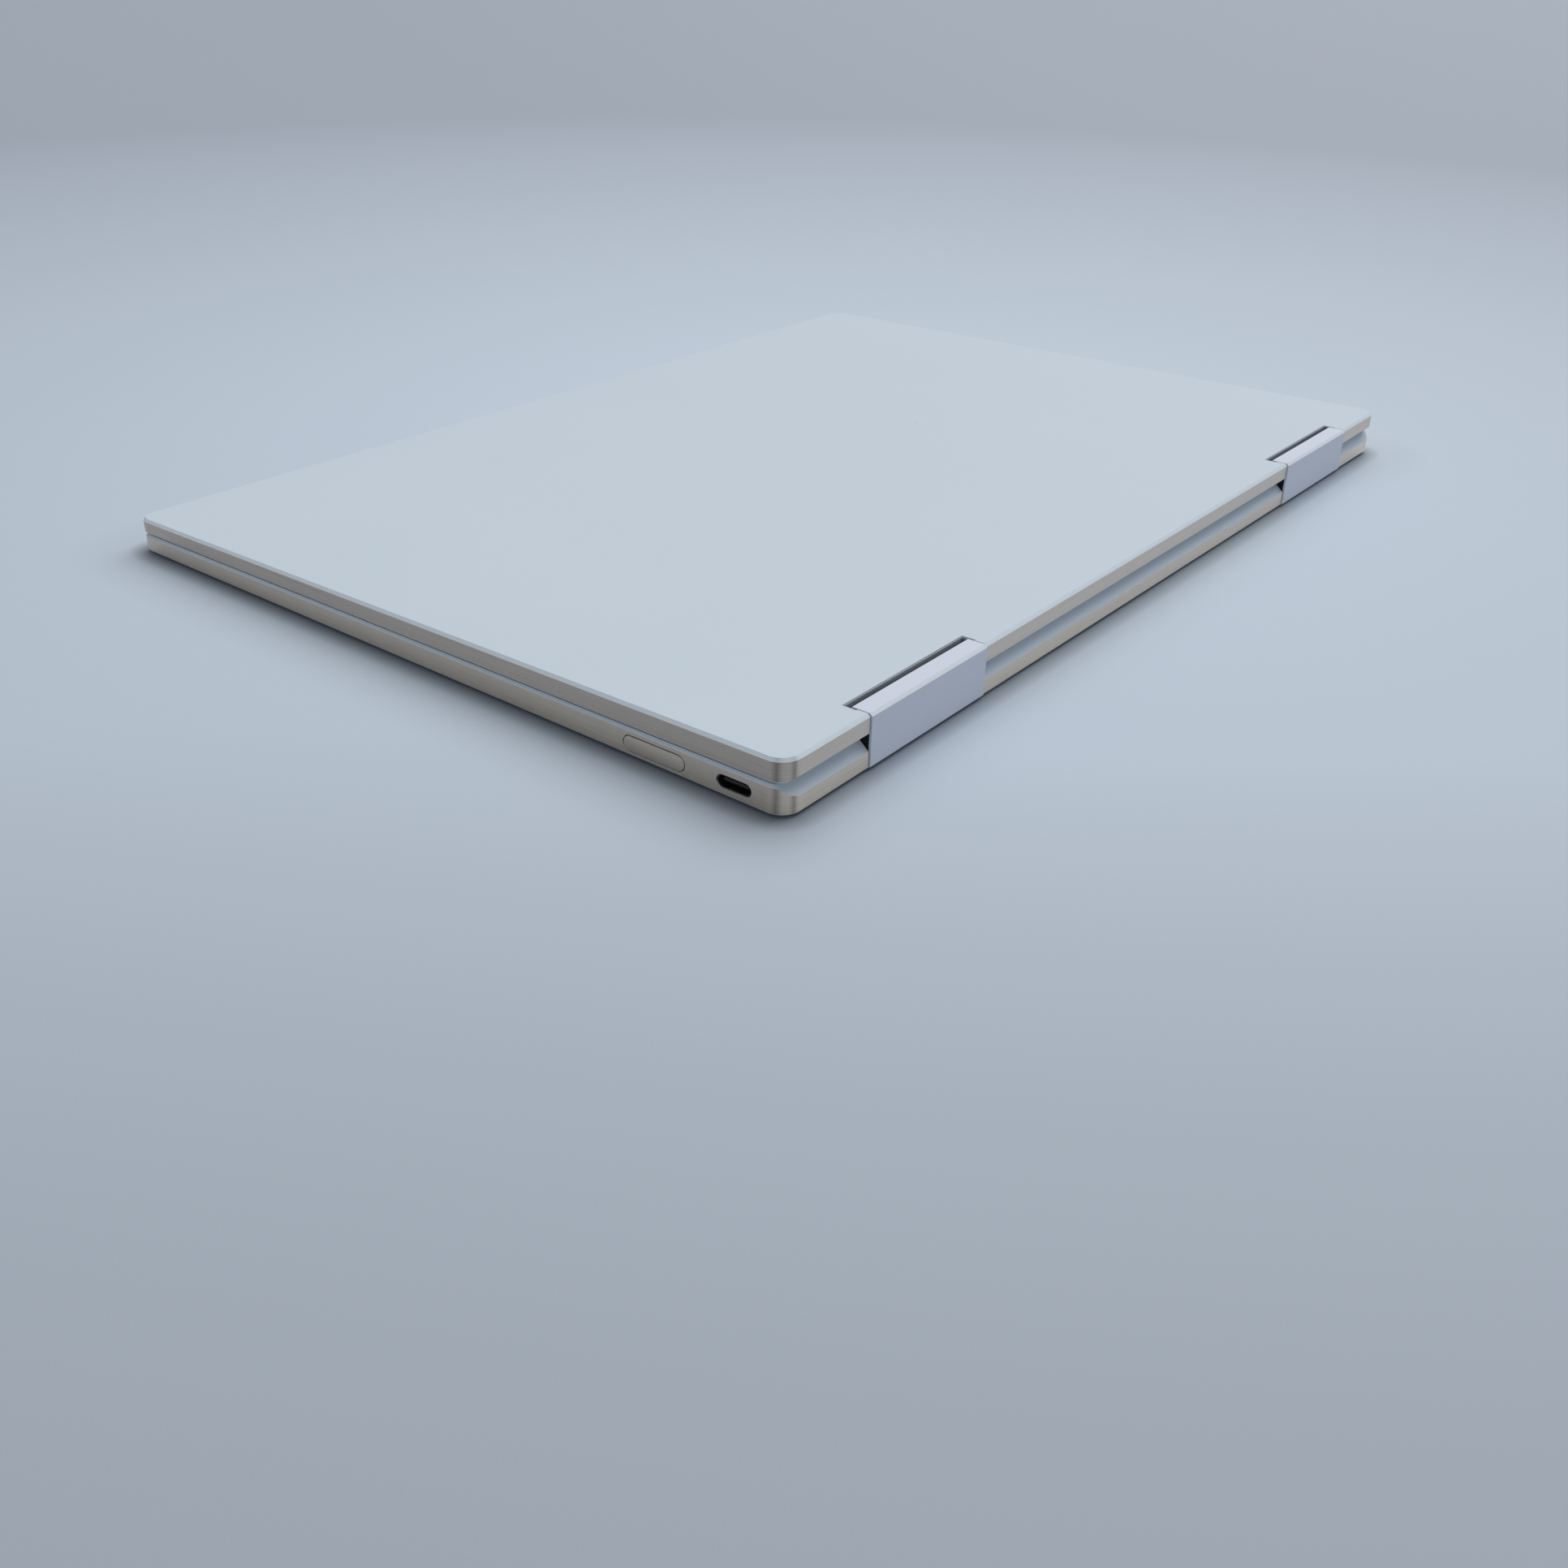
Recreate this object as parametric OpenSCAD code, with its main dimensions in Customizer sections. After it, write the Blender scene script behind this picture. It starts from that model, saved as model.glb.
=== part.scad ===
// Thin convertible laptop: a wedge-shaped base, a display lid and two full-height hinge blocks.
// X runs to the user's right, Y to the rear (hinge) edge, Z up from the surface it stands on.
// Most modules are written in the deck's own frame: the deck is level there, and z = 0 is the
// rear lower edge of the base. seated() tips that frame so that the underside lies level.

/* [Overall] */
// Width from side to side
width = 297.2; // [285:0.1:312]
// Depth from the front edge to the rear edge
depth = 208.8; // [204:0.1:222]
// Radius of the four corners seen from above
corner_r = 4.7; // [3.5:0.1:6]
// Free gap between the deck and the rim of the lid
lid_gap = 0.6; // [0.5:0.05:0.9]

/* [Base] */
// Thickness of the base along its rear edge
base_h = 6.3; // [6.2:0.05:6.8]
// How much thinner the base is along its front edge
base_taper = 2.25; // [1.6:0.05:2.4]
// Chamfer round the deck
deck_chamfer = 0.6; // [0.3:0.05:0.9]
// Chamfer round the underside
under_chamfer = 0.22; // [0.1:0.02:0.4]
// Height of the upright rear face of the base
rear_face_h = 3.69; // [3.4:0.05:4]
// Depth of the long bevel above that face
bevel_d = 3.0; // [2.4:0.1:3.4]
// Thickness of the metal deck
deck_t = 0.9; // [0.7:0.05:1.1]
// Width of the solid rail along the sides and the front
rail_w = 5.0; // [4.6:0.1:6]
// Depth of the solid rail along the rear
rear_rail = 12.4; // [12:0.1:12.8]
// Height of the rubber feet
foot_h = 0.7; // [0.5:0.1:1]
// Width of each rubber foot strip
foot_w = 4.0; // [3:0.1:5]
// Distance from the front edge to the front foot
foot_from_front = 9.0; // [7:0.1:12]
// Distance from the rear edge to the inner side of the rear foot
foot_from_rear = 8.5; // [8:0.1:8.6]
// Share of the width that the front foot spans
front_foot_share = 0.74; // [0.5:0.01:0.8]

/* [Lid] */
// Thickness of the lid along its rear edge
lid_h = 5.1; // [5:0.05:5.4]
// How much thinner the lid is along its front edge
lid_taper = 1.56; // [1:0.02:1.7]
// Chamfer round the top of the lid
top_chamfer = 0.65; // [0.3:0.05:0.9]
// Chamfer round the rim of the lid
rim_chamfer = 0.2; // [0.1:0.02:0.4]
// Depth of the bevel under the rear edge of the lid
lid_bevel_d = 1.2; // [0.8:0.1:1.6]
// Height of the bevel under the rear edge of the lid
lid_bevel_h = 0.91; // [0.6:0.05:1.1]
// Thickness of the lid's metal skin
lid_skin = 0.8; // [0.7:0.05:0.9]
// Width of the lid's metal rim beside the glass
lid_rim_w = 1.4; // [1.2:0.1:2]
// Depth of the solid rail along the rear of the lid
lid_rear_rail = 8.2; // [8:0.1:10]

/* [Display] */
// Thickness of the cover glass
glass_t = 0.9; // [0.7:0.05:1]
// Thickness of the display panel
panel_t = 1.3; // [1.1:0.05:1.35]
// Distance from the side of the lid to the panel
panel_side_border = 4.6; // [4:0.1:8]
// Distance from the front edge of the lid to the panel
panel_front_border = 7.2; // [7:0.1:9]
// Gap between the panel and the hinge brackets
panel_rear_gap = 1.2; // [0.8:0.1:3]
// Width of the rubber gasket round the glass
gasket_w = 1.0; // [0.6:0.1:1.4]
// How far the gasket stands out of the rim
gasket_out = 0.35; // [0.2:0.05:0.4]
// Radius of the camera lens
lens_r = 1.2; // [0.9:0.1:1.4]

/* [Hinges] */
// Distance from the middle of the laptop to the inner end of a hinge block
block_from_middle = 79.9; // [76:0.1:84]
// Length of a hinge block
block_l = 42.0; // [40:0.5:44]
// Depth of a hinge block in front of the laptop's rear edge
block_d = 5.2; // [5.1:0.1:5.4]
// How far a block stands out behind the laptop's rear edge
block_proud = 0.3; // [0:0.05:0.4]
// Chamfer along the upper and the front edges of a block
block_chamfer = 0.62; // [0.5:0.02:0.8]
// Chamfer along the lower rear edge of a block
block_low_chamfer = 0.26; // [0.2:0.02:0.6]
// Wall of the block's cover
block_wall = 0.6; // [0.5:0.05:0.65]
// Depth of the notch that a block lies in
notch_d = 6.2; // [6.1:0.1:6.6]
// Gap between a block's end and its notch
notch_gap = 0.3; // [0.25:0.05:0.45]
// Thickness of the notch's plastic liner
liner_t = 0.4; // [0.3:0.05:0.5]
// Distance from the rear face to both hinge axes
axis_from_rear = 2.2; // [2.1:0.05:2.3]
// Height of the base's hinge axis above the rear lower edge
base_axis_z = 2.9; // [2.85:0.05:2.95]
// Height of the lid's hinge axis above the base's
axis_gap = 6.8; // [6.75:0.05:6.85]
// Radius of the hinge shafts
shaft_r = 0.9; // [0.8:0.05:1]
// Radial running clearance of a shaft
shaft_clear = 0.05; // [0.03:0.01:0.08]
// Radius of the bracket's knuckle round a shaft
knuckle_r = 1.6; // [1.5:0.05:1.7]
// Thickness of a hinge bracket
bracket_t = 1.2; // [1:0.1:1.4]

/* [Keyboard] */
// Distance from the side of the laptop to the keyboard
keyboard_side = 10.85; // [10:0.05:13]
// Distance between key rows
key_pitch_y = 18.4; // [18:0.1:18.8]
// Depth of the function row
fn_row_d = 12.5; // [11.5:0.1:13]
// Gap between neighbouring keycaps
key_space = 2.6; // [2.2:0.1:3]
// Gap between a keycap and its hole in the deck
key_clear = 0.3; // [0.25:0.05:0.4]
// Height of a keycap
keycap_h = 0.9; // [0.8:0.05:1]
// How far a key travels
key_travel = 0.9; // [0.7:0.05:1]
// How far the keyboard well is sunk below the deck
well_sink = 1.0; // [0.8:0.05:1.1]
// Distance from the rear edge to the keyboard
keyboard_from_rear = 22.0; // [20:0.5:24]
// Thickness of the keyboard's steel plate
plate_t = 0.4; // [0.3:0.05:0.5]

/* [Touchpad] */
// Width of the touchpad
pad_w = 116; // [100:1:120]
// Distance between the touchpad and the keyboard
pad_gap = 9.8; // [9:0.1:14]
// Thickness of the touchpad
pad_t = 0.9; // [0.8:0.05:1]
// Distance from the front edge to the touchpad
pad_from_front = 6.5; // [6.2:0.1:8]
// Gap round the touchpad
pad_clear = 0.3; // [0.25:0.05:0.4]

/* [Sockets and button] */
// Distance from the rear edge to the middle of the right USB-C socket
usb_from_rear = 12.5; // [12:0.1:14]
// Distance from the rear edge to the middle of the left USB-C socket
left_usb_from_rear = 25.2; // [24.8:0.1:28]
// Width of the USB-C opening
usb_w = 8.7; // [8.6:0.05:9]
// Height of the USB-C opening
usb_h = 3.05; // [3:0.05:3.3]
// Height of the side openings' centre line
port_z = 3.05; // [3:0.05:3.2]
// Distance from the rear edge to the audio socket
audio_from_rear = 16.2; // [15.9:0.1:16.9]
// Radius of the audio socket's hole
audio_r = 1.75; // [1.7:0.05:1.8]
// Distance from the rear edge to the middle of the power button
button_from_rear = 33.0; // [31:0.5:36]
// Length of the power button
button_l = 16.0; // [14:0.5:18]
// Height of the power button
button_h = 3.4; // [3:0.05:3.5]
// Gap round the power button
button_clear = 0.2; // [0.16:0.01:0.24]
// How far the power button travels
button_travel = 0.3; // [0.2:0.05:0.4]

/* [Cooling] */
// Radius of the fan's blades
fan_r = 20; // [18:0.5:21]
// Number of fan blades
fan_blades = 31; // [21:2:41]
// Number of cooling fins
fin_count = 30; // [20:1:32]
// Number of intake slots in each row
slot_count = 14; // [10:1:15]

/* [Hidden] */
$fn = 64;
arc_steps = 14;              // points on each rounded corner of a shell
key_arc_steps = 3;           // points on each rounded corner of a keycap
cut = 1;                     // how far a cutting solid runs past the face it cuts
fit = 0.1;                   // assembly clearance of covers and pockets
near_gap = 0.2;              // clearance between parts stacked inside the casing

half_w = width / 2;
rear = depth / 2;
front = -depth / 2;
tip = atan(base_taper / depth);
lid_slope = atan(lid_taper / depth);
rim_z = base_h + lid_gap;
lid_top = rim_z + lid_h;
deck_under = base_h - deck_t;

axis_y = rear - axis_from_rear;
lid_axis_z = base_axis_z + axis_gap;
block_in = block_from_middle;
block_out = block_from_middle + block_l;
block_front = rear - block_d;
block_rear = rear + block_proud;
knuckle_in = block_in - 14;
knuckle_out = block_in - 2;
leaf_in = block_in - 19;
leaf_front = rear_rail + 8;
bracket_screw_x = [leaf_in + 4, leaf_in + 13];
bracket_screw_y = rear - leaf_front + 3;
boss_r = 2.2;
shaft_end = block_in + 30;
chamber_in = block_in + 17;
chamber_r = 1.45;
washer_r = 1.3;
washer_t = 0.6;
washer_count = 8;
nut_r = 1.35;
nut_t = 3;
pocket_gap = 0.1;
end_wall = 1;                // wall at the two ends of a hinge block's cover
tunnel_r = shaft_r + 0.12;

cover_t = 0.8;
cover_inset = 1.8;
cover_rear = rear - notch_d - liner_t - 1;
inner_rear = rear - rear_rail;
inner_front = front + rail_w;
inner_half_w = half_w - rail_w;
cavity_r = 0.8;
screw_head_r = 1.6;
screw_head_t = 0.5;
screw_r = 0.8;
screw_l = 2.6;
hex_r = 0.65;
hex_depth = 0.3;
screw_in = 3.8;
inner_head_r = 1.6;
inner_head_t = 0.5;
front_screw_x = half_w - 48.6;
rear_screw_x = [30, half_w - 15];
cover_screws = concat(
    [for (s = [-1, 1]) [s * (half_w - screw_in), 0]],
    [for (s = [-1, 0, 1]) [s * front_screw_x, front + screw_in]],
    [for (s = [-1, 1], x = rear_screw_x) [s * x, inner_rear + 2.1]]);
slot_w = 1.2;
slot_l = 9;
slot_pitch = 2.6;
slot_row_pitch = 12;
outlet_count = 12;
outlet_pitch = 3;
grille_r = 0.6;
grille_pitch_x = 4;
grille_pitch_y = 2.6;

row_units = [
    [for (i = [0:13]) 14.5 / 14],
    concat([for (i = [0:12]) 1], [1.5]),
    concat([1.5], [for (i = [0:11]) 1], [1]),
    concat([1.75], [for (i = [0:10]) 1], [1.75]),
    concat([2.25], [for (i = [0:9]) 1], [2.25]),
    [1, 1, 1, 1, 5.5, 1, 1, 1, 1, 1]];
row_span = 14.5;
space_index = 4;
enter_row = 3;
enter_index = 12;
bottom_row = 5;
keyboard_w = width - 2 * keyboard_side;
key_pitch_x = keyboard_w / row_span;
keyboard_d = fn_row_d + 5 * key_pitch_y;
keyboard_rear = rear - keyboard_from_rear;
keyboard_front = keyboard_rear - keyboard_d;
well_wall = 1.5;
well_z = base_h - well_sink;
web_t = 0.4;
cap_top = base_h - 0.05;
cap_roof = 0.4;
cap_r = 1.2;
plate_top = cap_top - keycap_h - key_travel - near_gap;
dome_sheet_t = 0.15;
dome_r = 2.6;
dome_top = cap_top - cap_roof - key_travel - 0.05;

pad_front = front + pad_from_front;
pad_rear = keyboard_front - pad_gap;
pad_d = pad_rear - pad_front;
pad_top = base_h - 0.05;
pad_angle = 0.3;
pad_r = 2;
pad_drop = pad_d * tan(pad_angle);
pad_bracket_t = 0.4;
bracket_z = pad_top - pad_t - pad_drop - pad_bracket_t - 0.01;
pad_bracket_side = pad_w / 2 + 7;
pad_foot_w = 5;
switch_r = 3;
switch_from_front = 8;

usb_y = rear - usb_from_rear;
left_usb_y = rear - left_usb_from_rear;
usb_l = 7.3;
usb_wall = 0.25;
usb_recess = 0.25;
usb_back = 1.2;
tongue_w = 6.6;
tongue_t = 0.7;
socket_fit = 0.05;           // clearance of a socket in its hole
audio_y = rear - audio_from_rear;
audio_z = 3.3;
audio_l = 12;
audio_wall = 0.25;
audio_body_w = 6.2;
button_y = rear - button_from_rear;
button_z = 2.95;
button_off = 0.1;            // the middle of the button's hole lies this much behind and above it
button_t = 1.7;
plunger_r = 1.3;
plunger_l = 1.7;
switch_t = 0.8;
switch_l = 12;
switch_h = 3;

board_t = 0.7;
board_top = plate_top - plate_t - 0.1;
board_z = board_top - board_t;
ssd_l = 80;
ssd_w = 22;
ssd_gap = 3;
ssd_end_gap = 4.1;
board_side = inner_half_w - 1.5;
board_left = -50;
board_right = min(leaf_in - 5.9, board_side - ssd_end_gap - ssd_l - ssd_gap);
board_front = inner_rear - 62;
board_rear = inner_rear - 1;
board_arm_d = 25.5;
board_screws = [[board_left + 5, board_front + 5], [board_left + 5, keyboard_rear - 4],
    [board_right - 5, board_front + 5], [board_right - 5, keyboard_rear - 4],
    [inner_half_w - 8, keyboard_rear - 14]];
chip_t = 0.7;
chip_z = board_z - chip_t;
cpu_x = board_right - 60;
cpu_y = inner_rear - 19;
package_w = 44;
package_d = 24;
package_t = 0.3;
die_w = 18;
die_d = 14;
memory_w = 10;
memory_d = 14;
memory_pitch = [12, 17];
ssd_chip = [18, 16];
ssd_chip_pitch = 24;
wifi_l = 24;
wifi_w = 18;
wifi_shield_l = 16;
pipe_t = 0.9;
pipe_z = chip_z - pipe_t;
pipe_w = 6;
pipe_leg_w = 4.6;
pipe_leg_right = -knuckle_out - near_gap;
fan_shell = 0.8;
fan_mouth_w = fan_r * 1.7;
fan_x = pipe_leg_right - pipe_leg_w - near_gap - fan_shell - fan_mouth_w / 2;
fan_y = inner_rear - 33;
fan_wall = 0.3;
fan_pin_r = 1.2;
fan_intake_r = fan_r * 0.72;
spoke_w = 2;
blade_t = 0.5;
blade_gap = 0.25;            // clearance of the blades above and below
blade_lean = 28;
fan_z = 1.75;
fan_top = board_top;
fan_gap = 1.5;
hub_r = 8;
fin_t = 0.2;
fin_pitch = 1.22;
fin_d = 5.5;
fin_rear = inner_rear - 0.8;
fin_left = fan_x - fin_count * fin_pitch / 2;
fin_right = fin_left + (fin_count - 1) * fin_pitch + fin_t;
fin_top = deck_under - 0.3;
fin_plate_t = 0.3;
cell_z = base_taper + cover_t + near_gap;
cell_top = deck_under - near_gap;
speaker_w = 23.4;
speaker_d = 36;
speaker_out = inner_half_w - 1;
speaker_in = speaker_out - speaker_w;
cell_in = pad_bracket_side + 4;
cell_out = speaker_in - 3.2;
cell_front = inner_front + 5;
cell_rear = pad_rear + 5;
tray_t = 0.8;
speaker_wall = 2;
speaker_recess = 0.5;
magnet_l = 12;
magnet_w = 3;
magnet_x = 92;

glass_z = rim_z + 0.2;
panel_z = glass_z + glass_t;
glass_rear = rear - lid_rear_rail - fit;
panel_w = width - 2 * panel_side_border;
panel_front = front + panel_front_border;
panel_rear = rear - leaf_front - panel_rear_gap;
camera_y = front + 4.4;
edge_parts_front = front + lid_rim_w + gasket_w + 0.3;
edge_part_t = 1.2;
camera_half_w = 11;
display_board_left = -leaf_in + 5;
display_board_right = leaf_in - 10.9;
display_board_front = panel_rear + 0.5;
display_board_rear = glass_rear - 3.5;
display_board_t = 0.6;
display_chip = [12, 4, 0.8];
display_chip_pitch = 26;

// ---- shapes used by many parts ----

function arc_pts(cx, cy, r, from, steps) =
    [for (i = [0:steps]) let (a = from + 90 * i / steps) [cx + r * cos(a), cy + r * sin(a)]];

function rounded_pts(x0, x1, y0, y1, r, steps) = concat(
    arc_pts(x1 - r, y1 - r, r, 0, steps),
    arc_pts(x0 + r, y1 - r, r, 90, steps),
    arc_pts(x0 + r, y0 + r, r, 180, steps),
    arc_pts(x1 - r, y0 + r, r, 270, steps));

function sum_to(v, n) = n == 0 ? 0 : v[n - 1] + sum_to(v, n - 1);

module seated() {
    translate([0, rear, foot_h]) rotate([tip, 0, 0]) translate([0, -rear, 0]) children();
}

// The underside's own frame, seen from the deck's frame
module underside() {
    translate([0, rear, 0]) rotate([-tip, 0, 0]) translate([0, -rear, 0]) children();
}

// The lid top's own frame, with z = 0 on the lid's outer face
module lid_face() {
    translate([0, rear, lid_top]) rotate([lid_slope, 0, 0]) translate([0, -rear, 0]) children();
}

module both_sides() {
    children();
    mirror([1, 0, 0]) children();
}

module box(x0, x1, y0, y1, z0, z1) {
    translate([x0, y0, z0]) cube([x1 - x0, y1 - y0, z1 - z0]);
}

module rounded_box(x0, x1, y0, y1, r, z0, z1, steps = arc_steps) {
    translate([0, 0, z0]) linear_extrude(z1 - z0) polygon(rounded_pts(x0, x1, y0, y1, r, steps));
}

// One level of a casing: its outline is drawn in by `inset`, and it lies at height z at the
// rear edge and rises by `rise` for each millimetre towards the front
function level_pts(inset, z, rise) =
    [for (p = rounded_pts(-half_w + inset, half_w - inset, front + inset, rear - inset,
        corner_r - inset, arc_steps)) [p[0], p[1], z + rise * (rear - p[1])]];

// A closed casing through its levels, given from the lowest to the highest
module casing(levels) {
    n = len(levels[0]);
    last = len(levels) - 1;
    walls = [for (k = [0:last - 1], i = [0:n - 1], half = [0, 1])
        let (j = (i + 1) % n, low = k * n, high = (k + 1) * n)
        half == 0 ? [low + i, high + i, low + j] : [low + j, high + i, high + j]];
    floor_face = [[for (i = [0:n - 1]) i]];
    roof_face = [[for (i = [n - 1:-1:0]) last * n + i]];
    polyhedron([for (level = levels) each level], concat(walls, floor_face, roof_face));
}

module rod_x(r, x0, x1, y, z) {
    translate([x0, y, z]) rotate([0, 90, 0]) cylinder(h = x1 - x0, r = r);
}

module ring_x(r_out, r_in, x0, x1, y, z) {
    difference() {
        rod_x(r_out, x0, x1, y, z);
        rod_x(r_in, x0 - cut, x1 + cut, y, z);
    }
}

// A bar along X with a pill-shaped section
module pill_x(len, h, x0, x1, y, z) {
    box(x0, x1, y - len / 2 + h / 2, y + len / 2 - h / 2, z - h / 2, z + h / 2);
    for (s = [-1, 1]) rod_x(h / 2, x0, x1, y + s * (len - h) / 2, z);
}

// Cuts a straight bevel along the whole rear edge, through (rear - d, z0) and (rear, z1)
module rear_bevel(d, z0, z1) {
    slope = (z1 - z0) / d;
    along_x(-half_w - cut, half_w + cut) polygon([
        [rear - d - cut, z0 - cut * slope], [rear + cut, z1 + cut * slope],
        [rear + cut, z0 - cut * slope]]);
}

module base_blank() {
    difference() {
        casing([
            level_pts(under_chamfer, 0, tan(tip)),
            level_pts(0, under_chamfer, tan(tip)),
            level_pts(0, base_h - deck_chamfer, 0),
            level_pts(deck_chamfer, base_h, 0)]);
        rear_bevel(bevel_d, base_h, rear_face_h);
    }
}

module lid_blank() {
    difference() {
        casing([
            level_pts(rim_chamfer, rim_z, 0),
            level_pts(0, rim_z + rim_chamfer, 0),
            level_pts(0, lid_top - top_chamfer, -tan(lid_slope)),
            level_pts(top_chamfer, lid_top, -tan(lid_slope))]);
        rear_bevel(lid_bevel_d, rim_z, rim_z + lid_bevel_h);
    }
}

// Room for one hinge block and its liner, right side
module notch(z0, z1) {
    cheek = notch_gap + liner_t;
    box(block_in - notch_gap, block_out + notch_gap, rear - notch_d - liner_t, rear + cut, z0, z1);
    box(block_in - cheek, block_out + cheek, rear - notch_d - liner_t, rear - bevel_d - fit, z0, z1);
}

module liner(z0, z1, axis_z) {
    cheek = notch_gap + liner_t;
    difference() {
        box(block_in - cheek, block_out + cheek, rear - notch_d - liner_t, rear - bevel_d - fit,
            z0, z1);
        box(block_in - notch_gap, block_out + notch_gap, rear - notch_d, rear, z0 - cut, z1 + cut);
        rod_x(tunnel_r, block_in - cheek - cut, block_in, axis_y, axis_z);
        box(block_in - cheek - cut, block_in, axis_y, rear, axis_z - tunnel_r, axis_z + tunnel_r);
    }
}

// Pocket for a hinge bracket and its shaft, right side
module bracket_pocket(axis_z, y_front) {
    r = knuckle_r + pocket_gap;
    box(leaf_in - fit, block_in - notch_gap - liner_t - 1, y_front, axis_y,
        axis_z - r, axis_z + r);
    rod_x(r, leaf_in - fit, block_in - notch_gap - liner_t - 1, axis_y, axis_z);
    rod_x(tunnel_r, block_in - 4, block_in, axis_y, axis_z);
}

module bracket(axis_z) {
    difference() {
        union() {
            box(leaf_in, knuckle_out, rear - leaf_front, axis_y,
                axis_z - bracket_t / 2, axis_z + bracket_t / 2);
            rod_x(knuckle_r, knuckle_in, knuckle_out, axis_y, axis_z);
        }
        rod_x(shaft_r, leaf_in - cut, knuckle_out + cut, axis_y, axis_z);
        for (x = bracket_screw_x)
            translate([x, bracket_screw_y, axis_z - bracket_t]) cylinder(h = 2 * bracket_t, r = screw_r);
    }
}

module shaft(axis_z) {
    rod_x(shaft_r, knuckle_in + 1, shaft_end, axis_y, axis_z);
}

module washer_stack(axis_z) {
    for (i = [0:washer_count - 1])
        ring_x(washer_r, shaft_r, chamber_in + 1 + i * washer_t, chamber_in + 0.9 + (i + 1) * washer_t,
            axis_y, axis_z);
    ring_x(nut_r, shaft_r, shaft_end - nut_t - 1, shaft_end - 1, axis_y, axis_z);
}

// ---- base ----

module key_hole_cuts() {
    for (r = [0:bottom_row]) for (k = [0:len(row_units[r]) - 1])
        key_box(r, k, key_clear, well_z - web_t - cut, well_z + cut, cap_r + key_clear);
}

function row_d(r) = r == 0 ? fn_row_d : key_pitch_y;
function row_rear(r) = keyboard_rear - (r == 0 ? 0 : fn_row_d + (r - 1) * key_pitch_y);
function key_x0(r, k) = -keyboard_w / 2 + key_pitch_x * sum_to(row_units[r], k) + key_space / 2;
function key_x1(r, k) = key_x0(r, k) + key_pitch_x * row_units[r][k] - key_space;

module key_box(r, k, grow, z0, z1, radius) {
    rounded_box(key_x0(r, k) - grow, key_x1(r, k) + grow,
        row_rear(r) - row_d(r) + key_space / 2 - grow, row_rear(r) - key_space / 2 + grow,
        radius, z0, z1, key_arc_steps);
}

module cover_screw_spots() {
    for (p = cover_screws) translate([p[0], p[1], 0]) children();
}

module top_case() {
    kx = keyboard_w / 2;
    color("gainsboro") seated() difference() {
        union() {
            difference() {
                base_blank();
                // room above the mainboard and the battery, round the keyboard well
                difference() {
                    rounded_box(-inner_half_w, inner_half_w, inner_front, inner_rear, cavity_r,
                        -cut, deck_under);
                    box(-kx - well_wall, kx + well_wall, keyboard_front - well_wall,
                        keyboard_rear + well_wall, plate_top, base_h);
                }
                box(-kx, kx, keyboard_front, keyboard_rear, plate_top - cut, well_z - web_t);
            }
            both_sides() for (x = bracket_screw_x)
                translate([x, bracket_screw_y, base_axis_z + bracket_t / 2])
                    cylinder(h = deck_under - base_axis_z - bracket_t / 2 + fit, r = boss_r);
        }
        rounded_box(-kx, kx, keyboard_front, keyboard_rear, 1.5, well_z, base_h + cut);
        key_hole_cuts();
        rounded_box(-pad_w / 2 - pad_clear, pad_w / 2 + pad_clear, pad_front - pad_clear,
            pad_rear + pad_clear, pad_r + pad_clear, deck_under - cut, base_h + cut);
        underside() rounded_box(-half_w + cover_inset, half_w - cover_inset, front + cover_inset,
            cover_rear, corner_r - cover_inset, -cut, cover_t);
        both_sides() notch(-cut, base_h + cut);
        both_sides() bracket_pocket(base_axis_z, inner_rear - cut);
        pill_x(usb_w, usb_h, half_w - usb_l - 1, half_w + cut, usb_y, port_z);
        pill_x(usb_w, usb_h, -half_w - cut, -half_w + usb_l + 1, left_usb_y, port_z);
        rod_x(audio_r + audio_wall + socket_fit, -half_w - cut, -inner_half_w + cut, audio_y, audio_z);
        pill_x(button_l + 2 * button_clear, button_h + 2 * button_clear, inner_half_w - cut,
            half_w + cut, button_y + button_off, button_z + button_off);
        underside() cover_screw_spots() cylinder(h = cover_t + screw_l, r = screw_r);
        both_sides() for (x = bracket_screw_x)
            translate([x, bracket_screw_y, base_axis_z]) cylinder(h = 2.2, r = screw_r);
    }
}

module bottom_cover() {
    color("gainsboro") translate([0, 0, foot_h]) difference() {
        rounded_box(-half_w + cover_inset + fit, half_w - cover_inset - fit,
            front + cover_inset + fit, cover_rear - fit, corner_r - cover_inset - fit, 0, cover_t);
        cover_screw_spots() {
            translate([0, 0, -cut]) cylinder(h = cut + screw_head_t, r = screw_head_r);
            cylinder(h = cover_t + cut, r = screw_r);
        }
        // intake under the fan and, to match, under the memory side
        for (s = [-1, 1], row = [-1:1], i = [0:slot_count - 1])
            translate([s * fan_x + (i - (slot_count - 1) / 2) * slot_pitch,
                fan_y + row * slot_row_pitch, -cut])
                pill_z(slot_w, slot_l, cover_t + 2 * cut);
        // outlet under the fins
        for (i = [0:outlet_count - 1])
            translate([fan_x + (i - (outlet_count - 1) / 2) * outlet_pitch, fin_rear - fin_d / 2, -cut])
                pill_z(slot_w, fin_d - 1, cover_t + 2 * cut);
        // speaker holes
        for (s = [-1, 1], i = [-1:1], j = [0:9])
            translate([s * ((speaker_in + speaker_out) / 2 + i * grille_pitch_x),
                cell_front + 6 + j * grille_pitch_y, -cut])
                cylinder(h = cover_t + 2 * cut, r = grille_r, $fn = 16);
    }
}

// An upright bar with a pill-shaped plan, long along Y
module pill_z(w, len, h) {
    translate([-w / 2, -len / 2 + w / 2, 0]) cube([w, len - w, h]);
    for (s = [-1, 1]) translate([0, s * (len - w) / 2, 0]) cylinder(h = h, r = w / 2, $fn = 16);
}

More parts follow.
